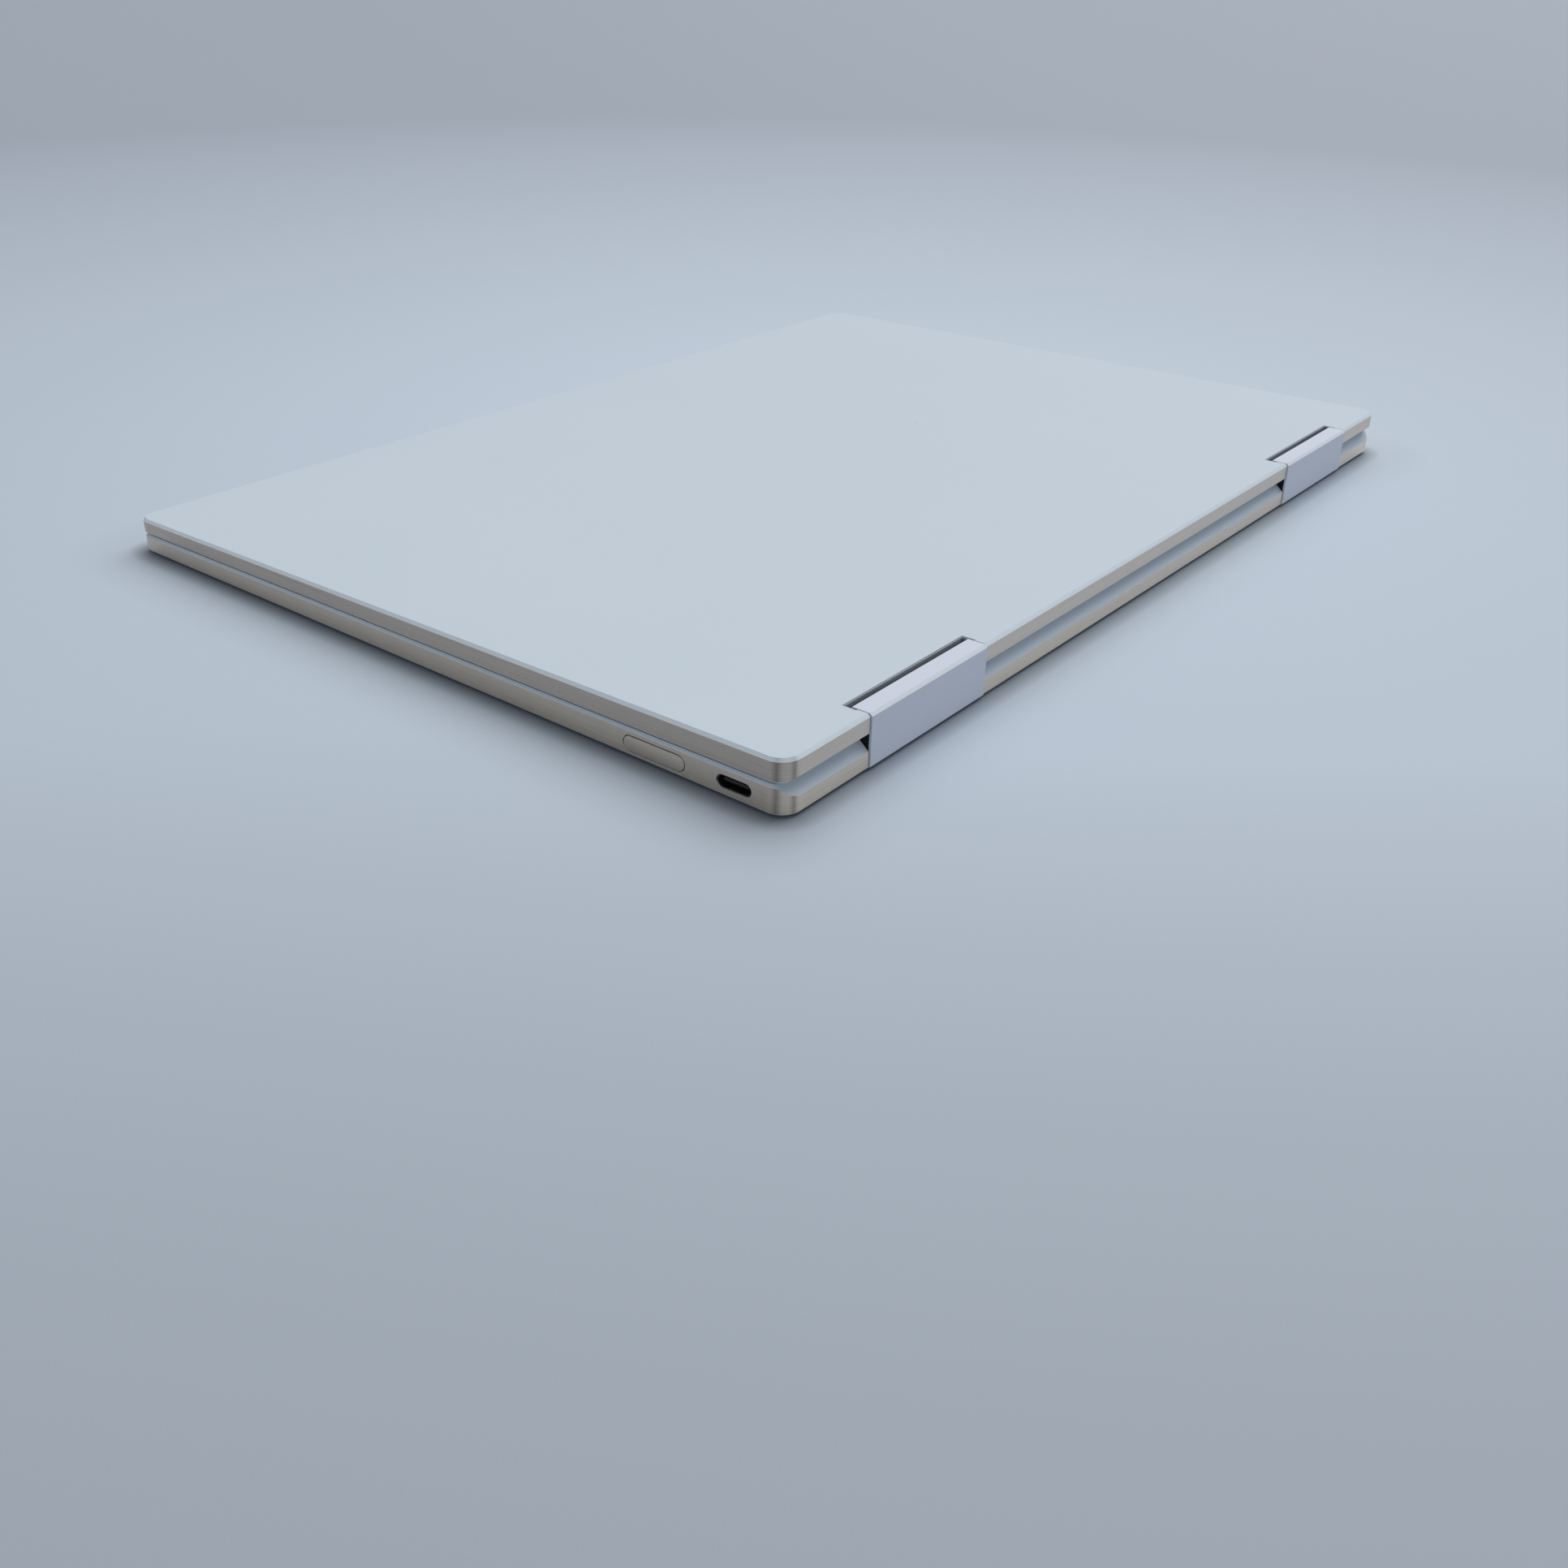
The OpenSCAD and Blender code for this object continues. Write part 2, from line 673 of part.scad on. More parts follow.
module bottom_screws() {
    recess = 0.05;
    color("silver") translate([0, 0, foot_h + recess]) cover_screw_spots() difference() {
        union() {
            cylinder(h = screw_head_t - recess, r = screw_head_r);
            cylinder(h = cover_t + screw_l - recess, r = screw_r);
        }
        translate([0, 0, -cut]) cylinder(h = cut + hex_depth, r = hex_r, $fn = 6);
    }
}

module rubber_feet() {
    front_half = width * front_foot_share / 2;
    front_y = front + foot_from_front;
    rear_y = rear - foot_from_rear;
    rear_half = block_in - 8;
    foot_r = foot_w / 2 - fit;
    color("dimgray") {
        rounded_box(-front_half, front_half, front_y, front_y + foot_w, foot_r, 0, foot_h);
        rounded_box(-rear_half, rear_half, rear_y, rear_y + foot_w, foot_r, 0, foot_h);
    }
}

module keyboard_plate() {
    color("slategray") seated() difference() {
        box(-keyboard_w / 2 - well_wall, keyboard_w / 2 + well_wall, keyboard_front - well_wall,
            keyboard_rear + well_wall, plate_top - plate_t, plate_top);
        for (p = board_screws)
            translate([p[0], p[1], plate_top - plate_t - cut]) cylinder(h = plate_t + 2 * cut, r = screw_r);
    }
}

module dome_sheet() {
    color("lightgray") seated() {
        box(-keyboard_w / 2 + fit, keyboard_w / 2 - fit, keyboard_front + fit, keyboard_rear - fit,
            plate_top, plate_top + dome_sheet_t);
        for (r = [0:bottom_row]) for (k = [0:len(row_units[r]) - 1])
            translate([(key_x0(r, k) + key_x1(r, k)) / 2, row_rear(r) - row_d(r) / 2, plate_top])
                cylinder(h = dome_top - plate_top, r = dome_r, $fn = 24);
    }
}

module keycap(r, k) {
    difference() {
        key_box(r, k, 0, cap_top - keycap_h, cap_top, cap_r);
        key_box(r, k, -1, cap_top - keycap_h - cut, cap_top - cap_roof, cap_r - 0.6);
    }
}

module key_row(r, skip) {
    for (k = [0:len(row_units[r]) - 1]) if (k != skip) keycap(r, k);
}

module keys_function_row() { color("whitesmoke") seated() key_row(0, -1); }
module keys_number_row() { color("whitesmoke") seated() key_row(1, -1); }
module keys_upper_row() { color("whitesmoke") seated() key_row(2, -1); }
module keys_home_row() { color("whitesmoke") seated() key_row(enter_row, enter_index); }
module keys_lower_row() { color("whitesmoke") seated() key_row(4, -1); }
module keys_bottom_row() { color("whitesmoke") seated() key_row(bottom_row, space_index); }
module space_bar() { color("whitesmoke") seated() keycap(bottom_row, space_index); }
module enter_key() { color("whitesmoke") seated() keycap(enter_row, enter_index); }

module touchpad() {
    color("silver") seated() rounded_box(-pad_w / 2, pad_w / 2, pad_front, pad_rear, pad_r,
        pad_top - pad_t, pad_top, 6);
}

module touchpad_bracket() {
    side = pad_bracket_side;
    bar_front = inner_front + 0.5;
    bar_rear = pad_rear + 5;
    color("slategray") seated() {
        difference() {
            box(-side, side, bar_front, bar_rear, bracket_z, bracket_z + pad_bracket_t);
            box(-pad_w / 2 + 10, pad_w / 2 - 10, pad_front + 14, pad_rear - 12,
                bracket_z - cut, bracket_z + 1);
        }
        both_sides() box(side - pad_foot_w, side, bar_front, bar_rear, bracket_z, deck_under);
        box(-pad_w / 2 + 4, pad_w / 2 - 4, pad_rear - 5, pad_rear - 1,
            bracket_z, pad_top - pad_t - 0.05);
        translate([0, pad_front + switch_from_front, bracket_z])
            cylinder(h = pad_bracket_t + switch_from_front * tan(pad_angle) - 0.01, r = switch_r);
    }
}

module mainboard() {
    arm_rear = rear - leaf_front - 1.5;
    color("darkgreen") seated() difference() {
        union() {
            box(board_left, board_right, board_front, board_rear, board_z, board_top);
            box(board_right - cut, board_side, arm_rear - board_arm_d, arm_rear, board_z, board_top);
            box(block_out + 1, board_side, arm_rear - 1, board_rear, board_z, board_top);
        }
        for (p = board_screws)
            translate([p[0], p[1], board_z - cut]) cylinder(h = board_t + 2 * cut, r = screw_r);
        usb_room(usb_y);
    }
}

// Room for a USB-C socket in the board beside it, right side
module usb_room(y) {
    half = usb_w / 2 + near_gap;
    box(half_w - usb_l - 2 * near_gap - usb_recess, half_w, y - half, y + half, 0, base_h);
}

module centred_box(x, y, w, d, z0, z1) {
    box(x - w / 2, x + w / 2, y - d / 2, y + d / 2, z0, z1);
}

module processor() {
    color("dimgray") seated() {
        centred_box(cpu_x, cpu_y, package_w, package_d, board_z - package_t, board_z);
        centred_box(cpu_x, cpu_y, die_w, die_d, chip_z, board_z - package_t);
    }
}

module memory_chips() {
    first_x = cpu_x + package_w / 2 + memory_w / 2 + 7;
    color("black") seated() for (i = [0, 1], j = [0, 1])
        centred_box(first_x + i * memory_pitch[0], cpu_y + 1 - j * memory_pitch[1],
            memory_w, memory_d, chip_z, board_z);
}

module heat_pipe() {
    leg_left = pipe_leg_right - pipe_leg_w;
    pipe_rear = fin_rear - fin_d - 6;
    color("peru") seated() {
        centred_box(cpu_x, cpu_y, die_w + 4, die_d + 4, pipe_z, chip_z);
        box(leg_left, cpu_x, pipe_rear - pipe_w, pipe_rear, pipe_z, chip_z);
        box(leg_left, pipe_leg_right, pipe_rear - pipe_w, fin_rear, pipe_z, chip_z);
        box(fin_left, pipe_leg_right, fin_rear - fin_d, fin_rear, pipe_z, chip_z);
    }
}

module heat_sink_fins() {
    fin_front = fin_rear - fin_d;
    color("lightsteelblue") seated() {
        for (i = [0:fin_count - 1])
            box(fin_left + i * fin_pitch, fin_left + i * fin_pitch + fin_t, fin_front,
                fin_rear, chip_z, fin_top);
        box(fin_left, fin_right, fin_front, fin_rear, fin_top - fin_plate_t, fin_top);
        box(fin_left, fin_right, fin_front, fin_rear, chip_z, chip_z + fin_plate_t);
    }
}

module fan_housing() {
    r_in = fan_r + fan_gap;
    mouth_half = fan_mouth_w / 2;
    mouth_rear = fin_rear - fin_d - near_gap - fan_y;
    roof_z = fan_top - fan_wall;
    color("dimgray") seated() translate([fan_x, fan_y, 0]) difference() {
        union() {
            translate([0, 0, fan_z]) cylinder(h = fan_top - fan_z, r = r_in + fan_shell);
            box(-mouth_half - fan_shell, mouth_half + fan_shell, 0, mouth_rear, fan_z, fan_top);
        }
        difference() {
            union() {
                translate([0, 0, fan_z + fan_wall])
                    cylinder(h = roof_z - fan_z - fan_wall, r = r_in);
                box(-mouth_half, mouth_half, 0, mouth_rear + cut, fan_z + fan_wall, roof_z);
            }
            translate([0, 0, fan_z]) cylinder(h = roof_z - 2 * blade_gap - fan_z, r = fan_pin_r);
        }
        // intake round three spokes
        difference() {
            translate([0, 0, fan_z - cut]) cylinder(h = fan_wall + 2 * cut, r = fan_intake_r);
            translate([0, 0, fan_z - 2 * cut]) cylinder(h = fan_wall + 4 * cut, r = hub_r * 0.4);
            for (a = [90, 210, 330]) rotate(a)
                box(0, fan_r, -spoke_w / 2, spoke_w / 2, fan_z - 2 * cut, fan_z + 4 * cut);
        }
    }
}

module fan_impeller() {
    blade_low = fan_z + fan_wall + blade_gap;
    blade_high = fan_top - fan_wall - blade_gap;
    color("black") seated() translate([fan_x, fan_y, 0]) difference() {
        union() {
            translate([0, 0, blade_low]) cylinder(h = blade_high - blade_low, r = hub_r);
            for (i = [0:fan_blades - 1]) rotate(360 * i / fan_blades)
                translate([hub_r - blade_t, 0, 0]) rotate(blade_lean)
                    box(0, (fan_r - hub_r) * 0.98, -blade_t / 2, blade_t / 2, blade_low, blade_high);
        }
        translate([0, 0, blade_low - cut])
            cylinder(h = blade_high - blade_gap + fit - blade_low + cut, r = fan_pin_r + shaft_clear);
    }
}

module ssd_module() {
    x0 = board_right + ssd_gap;
    y0 = board_front + 1;
    color("darkgreen") seated() {
        box(x0, x0 + ssd_l, y0, y0 + ssd_w, board_z, board_top);
        for (i = [0:2])
            centred_box(x0 + ssd_l / 2 + (i - 1) * ssd_chip_pitch, y0 + ssd_w / 2,
                ssd_chip[0], ssd_chip[1], chip_z, board_z);
    }
}

module wifi_card() {
    x1 = board_left - 4;
    y0 = board_front + 1;
    color("silver") seated() {
        box(x1 - wifi_l, x1, y0, y0 + wifi_w, board_z, board_top);
        box(x1 - wifi_l + 2, x1 - wifi_l + 2 + wifi_shield_l, y0 + 2, y0 + wifi_w - 2,
            chip_z, board_z);
    }
}

module io_board() {
    color("darkgreen") seated() difference() {
        box(-board_side, -block_out - 2, left_usb_y - 9, board_rear, board_z, board_top);
        mirror([1, 0, 0]) usb_room(left_usb_y);
        box(-half_w, -half_w + audio_l + 1, left_usb_y, inner_rear, 0, base_h);
    }
}

module battery_cells() {
    color("darkslategray") seated() both_sides() for (i = [0, 1]) {
        half = (cell_out - cell_in - 1) / 2;
        rounded_box(cell_in + i * (half + 1), cell_in + i * (half + 1) + half, cell_front, cell_rear,
            1, cell_z, cell_top, 3);
    }
}

module battery_frame() {
    color("black") seated() both_sides() difference() {
        box(cell_in - tray_t, cell_out + tray_t, cell_front - tray_t, cell_rear + tray_t,
            cell_z, cell_top - 0.4);
        box(cell_in, cell_out, cell_front, cell_rear, cell_z - cut, cell_top + cut);
    }
}

module speaker() {
    color("black") seated() difference() {
        box(speaker_in, speaker_out, cell_front, cell_front + speaker_d, cell_z, cell_top);
        box(speaker_in + speaker_wall, speaker_out - speaker_wall, cell_front + speaker_wall,
            cell_front + speaker_d - speaker_wall, cell_z - cut, cell_z + speaker_recess);
    }
}

module speaker_right() { speaker(); }
module speaker_left() { mirror([1, 0, 0]) speaker(); }

module usb_socket(y) {
    x_out = half_w - usb_recess;
    x_in = x_out - usb_l;
    wide = usb_w - 2 * socket_fit;
    high = usb_h - 2 * socket_fit;
    color("silver") seated() {
        difference() {
            pill_x(wide, high, x_in, x_out, y, port_z);
            pill_x(wide - 2 * usb_wall, high - 2 * usb_wall, x_in + usb_back, x_out + cut, y, port_z);
        }
        box(x_in + usb_back / 2, x_out - 0.9, y - tongue_w / 2, y + tongue_w / 2,
            port_z - tongue_t / 2, port_z + tongue_t / 2);
    }
}

module usb_socket_right() { usb_socket(usb_y); }
module usb_socket_left() { mirror([1, 0, 0]) usb_socket(left_usb_y); }

module audio_socket() {
    x_in = half_w - audio_l;
    half_h = audio_r + audio_wall;
    color("dimgray") mirror([1, 0, 0]) seated() difference() {
        union() {
            rod_x(half_h, inner_half_w - cut, half_w - 0.1, audio_y, audio_z);
            box(x_in, inner_half_w - fit, audio_y - audio_body_w / 2, audio_y + audio_body_w / 2,
                audio_z - half_h, audio_z + half_h);
        }
        rod_x(audio_r, x_in + 1, half_w + cut, audio_y, audio_z);
    }
}

module power_button() {
    color("tan") seated() pill_x(button_l, button_h, half_w - button_t, half_w - 0.02,
        button_y, button_z);
}

module power_switch() {
    x_face = half_w - button_t - button_travel - 0.03;
    x_back = x_face - plunger_l;
    color("dimgray") seated() {
        rod_x(plunger_r, x_back, x_face, button_y, button_z);
        box(x_back - switch_t, x_back, button_y - switch_l / 2, button_y + switch_l / 2,
            button_z - switch_h / 2, button_z + switch_h / 2);
    }
}

module base_hinge_brackets() { color("slategray") seated() both_sides() bracket(base_axis_z); }
module base_hinge_shafts() { color("silver") seated() both_sides() shaft(base_axis_z); }
module base_hinge_washers() { color("gray") seated() both_sides() washer_stack(base_axis_z); }

module base_hinge_liners() {
    color("dimgray") seated() both_sides() liner(0.25, base_h - 0.15, base_axis_z);
}

module base_magnets() {
    color("gray") seated() both_sides()
        box(magnet_x, magnet_x + magnet_l, inner_front + near_gap, inner_front + near_gap + magnet_w,
            cell_z, cell_top);
}

// A screw with z = 0 under its head and its shank standing up
module inner_screw(shank) {
    translate([0, 0, -inner_head_t]) cylinder(h = inner_head_t, r = inner_head_r);
    translate([0, 0, -inner_head_t]) cylinder(h = inner_head_t + shank, r = screw_r);
}

module inner_screws() {
    color("silver") seated() {
        for (p = board_screws)
            translate([p[0], p[1], board_z]) inner_screw(plate_top - board_z);
        both_sides() for (x = bracket_screw_x)
            translate([x, bracket_screw_y, base_axis_z - bracket_t / 2]) inner_screw(bracket_t + 1.4);
    }
}

// ---- hinge blocks ----

module block_section() {
    c = block_chamfer;
    low = block_low_chamfer;
    polygon([[block_front + c, 0], [block_rear - low, 0], [block_rear, low],
        [block_rear, lid_top - c], [block_rear - c, lid_top], [block_front + c, lid_top],
        [block_front, lid_top - c], [block_front, c]]);
}

module along_x(x0, x1) {
    translate([x0, 0, 0]) rotate([90, 0, 90]) linear_extrude(x1 - x0) children();
}

module hinge_cover() {
    color("whitesmoke") seated() difference() {
        along_x(block_in, block_out) block_section();
        box(block_in + end_wall, block_out - end_wall, block_front - cut, block_rear - block_wall,
            block_wall, lid_top - block_wall);
        for (z = [base_axis_z, lid_axis_z])
            rod_x(shaft_r + 2 * shaft_clear, block_in - cut, block_in + end_wall + cut, axis_y, z);
    }
}

module hinge_core() {
    color("slategray") seated() difference() {
        box(block_in + end_wall, block_out - end_wall, block_front + 0.05, block_rear - block_wall,
            block_wall, lid_top - block_wall);
        for (z = [base_axis_z, lid_axis_z]) {
            rod_x(shaft_r + shaft_clear, block_in, chamber_in + cut, axis_y, z);
            rod_x(chamber_r, chamber_in, shaft_end + 1, axis_y, z);
        }
    }
}

module hinge_cover_right() { hinge_cover(); }
module hinge_core_right() { hinge_core(); }
module hinge_cover_left() { mirror([1, 0, 0]) hinge_cover(); }
module hinge_core_left() { mirror([1, 0, 0]) hinge_core(); }

// ---- lid ----

module lid_cover() {
    color("gainsboro") seated() difference() {
        union() {
            difference() {
                lid_blank();
                intersection() {
                    rounded_box(-half_w + lid_rim_w, half_w - lid_rim_w, front + lid_rim_w,
                        rear - lid_rear_rail, corner_r - lid_rim_w, rim_z - cut, lid_top);
                    lid_face() box(-half_w, half_w, front - cut, rear + cut, -3 * lid_h, -lid_skin);
                }
            }
            both_sides() for (x = bracket_screw_x)
                translate([x, bracket_screw_y, lid_axis_z + bracket_t / 2])
                    cylinder(h = lid_top - lid_axis_z - bracket_t / 2 - lid_skin + near_gap, r = boss_r);
        }
        both_sides() notch(rim_z - cut, lid_top + cut);
        both_sides() bracket_pocket(lid_axis_z, rear - lid_rear_rail - cut);
        both_sides() for (x = bracket_screw_x)
            translate([x, bracket_screw_y, lid_axis_z]) cylinder(h = 1.5, r = screw_r);
    }
}

module lid_hinge_brackets() { color("slategray") seated() both_sides() bracket(lid_axis_z); }
module lid_hinge_shafts() { color("silver") seated() both_sides() shaft(lid_axis_z); }
module lid_hinge_washers() { color("gray") seated() both_sides() washer_stack(lid_axis_z); }

module lid_hinge_liners() {
    color("dimgray") seated() both_sides() liner(rim_z + 0.15, lid_top - 0.2, lid_axis_z);
}

module lid_screws() {
    color("silver") seated() both_sides() for (x = bracket_screw_x)
        translate([x, bracket_screw_y, lid_axis_z - bracket_t / 2]) inner_screw(bracket_t + 0.85);
}

module lid_magnets() {
    color("gray") seated() both_sides()
        box(magnet_x, magnet_x + magnet_l, edge_parts_front, edge_parts_front + magnet_w,
            panel_z, panel_z + edge_part_t);
}

module glass_plan(inset, z0, z1) {
    rounded_box(-half_w + lid_rim_w + inset, half_w - lid_rim_w - inset, front + lid_rim_w + inset,
        glass_rear - inset, max(corner_r - lid_rim_w - inset, 0.8), z0, z1, 6);
}

module display_glass() {
    color("black") seated() difference() {
        glass_plan(gasket_w + fit, glass_z, panel_z);
        translate([0, camera_y, glass_z - cut]) cylinder(h = glass_t + 2 * cut, r = lens_r + 0.05);
    }
}

module display_gasket() {
    color("black") seated() difference() {
        glass_plan(fit, rim_z - gasket_out, panel_z - 0.1);
        glass_plan(gasket_w, rim_z - gasket_out - cut, panel_z + cut);
    }
}

module display_panel() {
    color("dimgray") seated() box(-panel_w / 2, panel_w / 2, panel_front, panel_rear,
        panel_z, panel_z + panel_t);
}

module display_board() {
    top = panel_z + display_board_t;
    color("darkgreen") seated() {
        box(display_board_left, display_board_right, display_board_front, display_board_rear,
            panel_z, top);
        for (i = [0:3]) translate([display_board_left + 6 + display_chip_pitch * i,
            display_board_front + 1, top]) cube(display_chip);
    }
}

module camera_module() {
    color("black") seated() box(-camera_half_w, camera_half_w, edge_parts_front, panel_front - near_gap,
        panel_z, panel_z + edge_part_t);
}

module camera_lens() {
    color("midnightblue") seated() translate([0, camera_y, glass_z + 0.05])
        cylinder(h = glass_t - 0.05, r = lens_r);
}

top_case();
bottom_cover();
bottom_screws();
rubber_feet();
keyboard_plate();
dome_sheet();
keys_function_row();
keys_number_row();
keys_upper_row();
keys_home_row();
keys_lower_row();
keys_bottom_row();
space_bar();
enter_key();
touchpad();
touchpad_bracket();
mainboard();
processor();
memory_chips();
heat_pipe();
heat_sink_fins();
fan_housing();
fan_impeller();
ssd_module();
wifi_card();
io_board();
battery_cells();
battery_frame();
speaker_right();
speaker_left();
usb_socket_right();
usb_socket_left();
audio_socket();
power_button();
power_switch();
base_hinge_brackets();
base_hinge_shafts();
base_hinge_washers();
base_hinge_liners();
base_magnets();
inner_screws();
hinge_cover_right();
hinge_core_right();
hinge_cover_left();
hinge_core_left();
lid_cover();
lid_hinge_brackets();
lid_hinge_shafts();
lid_hinge_washers();
lid_hinge_liners();
lid_screws();
lid_magnets();
display_glass();
display_panel();
display_gasket();
display_board();
camera_module();
camera_lens();
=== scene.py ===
"""Finishes, light and camera for the convertible laptop.

The laptop's frame gives every solid. This script paints them, swaps the keycaps, the
touchpad, the power button and the feet for softly edged pieces, and dresses the boards.
All lengths are in metres, except the camera's place and aim.
"""

import math

import bpy
from mathutils import Matrix, Quaternion, Vector


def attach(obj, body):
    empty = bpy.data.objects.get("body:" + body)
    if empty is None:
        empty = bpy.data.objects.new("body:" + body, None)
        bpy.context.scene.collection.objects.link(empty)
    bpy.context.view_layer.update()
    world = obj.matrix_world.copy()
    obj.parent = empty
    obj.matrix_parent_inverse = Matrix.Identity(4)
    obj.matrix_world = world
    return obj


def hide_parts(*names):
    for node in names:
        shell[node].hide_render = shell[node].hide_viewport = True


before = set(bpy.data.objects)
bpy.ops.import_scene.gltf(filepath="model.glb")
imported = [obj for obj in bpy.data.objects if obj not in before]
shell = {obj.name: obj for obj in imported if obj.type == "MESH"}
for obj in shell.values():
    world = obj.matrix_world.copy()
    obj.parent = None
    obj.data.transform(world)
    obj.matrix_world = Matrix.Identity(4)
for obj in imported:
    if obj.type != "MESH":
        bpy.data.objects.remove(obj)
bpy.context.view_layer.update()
scene = bpy.context.scene
mm = 0.001

# ---- sizes the laptop's frame also uses ----

half_width = 148.6 * mm
rear_edge = 104.4 * mm
front_edge = -104.4 * mm
corner_radius = 4.7 * mm
foot_height = 0.7 * mm
deck_height = 6.3 * mm
wedge = math.atan(2.25 / 208.8)
side_slack = 0.4 * mm

key_pitch = (19.0 * mm, 18.4 * mm)
key_row_depths = [12.5 * mm] + [18.4 * mm] * 5
key_space = 2.6 * mm
keyboard_rear = rear_edge - 22 * mm
cap_top = deck_height - 0.05 * mm
cap_height = 0.9 * mm
cap_roof = 0.4 * mm
cap_wall = 1.0 * mm
cap_corner = 1.2 * mm
cap_edge = 0.22 * mm
cap_dish = 0.1 * mm

pad_width = 116 * mm
pad_depth = 66 * mm
pad_front = front_edge + 6.5 * mm
pad_top = deck_height - 0.05 * mm
pad_thickness = 0.9 * mm
pad_corner = 2 * mm
pad_edge = 0.15 * mm

button_length = 16 * mm
button_height = 3.4 * mm
button_middle = (rear_edge - 33 * mm, 2.95 * mm)
button_thickness = 1.7 * mm
button_sunk = 0.02 * mm
button_edge = 0.14 * mm

port_height = 3.05 * mm
right_port = rear_edge - 12.5 * mm
left_port = rear_edge - 25.2 * mm
tongue_half = (3.4 * mm, 0.45 * mm)
tongue_recess = 0.8 * mm
contacts_half = 2.8 * mm
contacts_recess = 1.7 * mm
contact_pitch = 0.5 * mm

picture_half = (143.2 * mm, 89.5 * mm)
picture_middle = front_edge + 96.6 * mm

foot_depth = 4 * mm
foot_round = 1.9 * mm
front_foot = (2 * half_width * 0.37, front_edge + 9 * mm)
rear_foot = (71.9 * mm, rear_edge - 8.5 * mm)

edge_steps = 4  # faces round a softly rounded edge

# From the deck's own frame, where the deck is level, to the table's frame
seat = (
    Matrix.Translation((0, rear_edge, foot_height))
    @ Matrix.Rotation(wedge, 4, "X")
    @ Matrix.Translation((0, -rear_edge, 0))
)

# ---- camera ----

# In millimetres
camera_stand = (350.3, 258.2, 153.8)
camera_aim = (153.5, 107.6, 12.0)
camera_roll = math.radians(1.51)
lens_length = 36.59


def place_camera():
    lens = bpy.data.cameras.new("camera")
    lens.sensor_width = 36
    lens.lens = lens_length
    lens.clip_start = 0.005
    lens.clip_end = 100
    camera = bpy.data.objects.new("camera", lens)
    scene.collection.objects.link(camera)
    stand = Vector(camera_stand) * mm
    aim = Vector(camera_aim) * mm
    roll = Quaternion((0, 0, 1), camera_roll)
    camera.rotation_mode = "QUATERNION"
    camera.location = stand
    camera.rotation_quaternion = (aim - stand).to_track_quat("-Z", "Y") @ roll
    scene.camera = camera


place_camera()

# ---- shader building blocks ----


def add(tree, kind, **settings):
    node = tree.nodes.new(kind)
    for name, value in settings.items():
        setattr(node, name, value)
    return node


def feed(tree, node, socket, value):
    """Link value to the socket if it is a socket, otherwise set it."""
    if isinstance(value, bpy.types.NodeSocket):
        tree.links.new(value, node.inputs[socket])
    else:
        node.inputs[socket].default_value = value


def sum_of(tree, operation, *values, clamp=False):
    node = add(tree, "ShaderNodeMath", operation=operation, use_clamp=clamp)
    for i, value in enumerate(values):
        feed(tree, node, i, value)
    return node.outputs[0]


def spread(tree, value, low, high, to_low, to_high):
    node = add(tree, "ShaderNodeMapRange")
    for name, v in zip(
        ("Value", "From Min", "From Max", "To Min", "To Max"),
        (value, low, high, to_low, to_high),
    ):
        feed(tree, node, name, v)
    return node.outputs[0]


def blend_colours(tree, mask, low, high):
    node = add(tree, "ShaderNodeMix", data_type="RGBA")
    feed(tree, node, 0, mask)
    for index, colour in ((6, low), (7, high)):
        if not isinstance(colour, bpy.types.NodeSocket):
            colour = (*colour, 1)
        feed(tree, node, index, colour)
    return node.outputs[2]


def new_effect(name, inputs, outputs):
    group = bpy.data.node_groups.new(name, "ShaderNodeTree")
    for label, kind, value in inputs:
        socket = group.interface.new_socket(label, in_out="INPUT", socket_type=kind)
        socket.default_value = value
    for label in outputs:
        group.interface.new_socket(label, in_out="OUTPUT", socket_type="NodeSocketFloat")
    given = add(group, "NodeGroupInput")
    result = add(group, "NodeGroupOutput")
    return group, given.outputs, result


NUMBER = "NodeSocketFloat"
VECTOR = "NodeSocketVector"


def make_grain():
    """Even noise in the piece's own space, stretched by Stretch: grain, brushing or smudges."""
    group, given, result = new_effect(
        "grain",
        [("Scale", NUMBER, 1000.0), ("Stretch", VECTOR, (1, 1, 1)), ("Detail", NUMBER, 2.0),
         ("Low", NUMBER, 0.3), ("High", NUMBER, 0.7)],
        ["Value"],
    )
    place = add(group, "ShaderNodeTexCoord")
    stretch = add(group, "ShaderNodeVectorMath", operation="MULTIPLY")
    feed(group, stretch, 0, place.outputs["Object"])
    feed(group, stretch, 1, given["Stretch"])
    noise = add(group, "ShaderNodeTexNoise")
    feed(group, noise, "Vector", stretch.outputs[0])
    feed(group, noise, "Scale", given["Scale"])
    feed(group, noise, "Detail", given["Detail"])
    level = spread(group, noise.outputs[0], given["Low"], given["High"], 0.0, 1.0)
    feed(group, result, "Value", level)
    return group


def make_specks():
    """Small scattered spots, such as dust or pits."""
    group, given, result = new_effect(
        "specks", [("Scale", NUMBER, 400.0), ("Size", NUMBER, 0.12), ("Share", NUMBER, 0.1)],
        ["Mask"],
    )
    place = add(group, "ShaderNodeTexCoord")
    cells = add(group, "ShaderNodeTexVoronoi")
    feed(group, cells, "Vector", place.outputs["Object"])
    feed(group, cells, "Scale", given["Scale"])
    near = sum_of(group, "LESS_THAN", cells.outputs["Distance"], given["Size"])
    parts = add(group, "ShaderNodeSeparateColor")
    feed(group, parts, 0, cells.outputs["Color"])
    chosen = sum_of(group, "LESS_THAN", parts.outputs[0], given["Share"])
    feed(group, result, "Mask", sum_of(group, "MULTIPLY", near, chosen))
    return group


# How far a face's normal leans up or down, for telling the shells' faces apart
upright_lean = 0.3
level_lean = 0.97
rim_lean = (0.64, 0.33)
rim_reach = 0.8 * mm
line_reach = 0.13 * mm

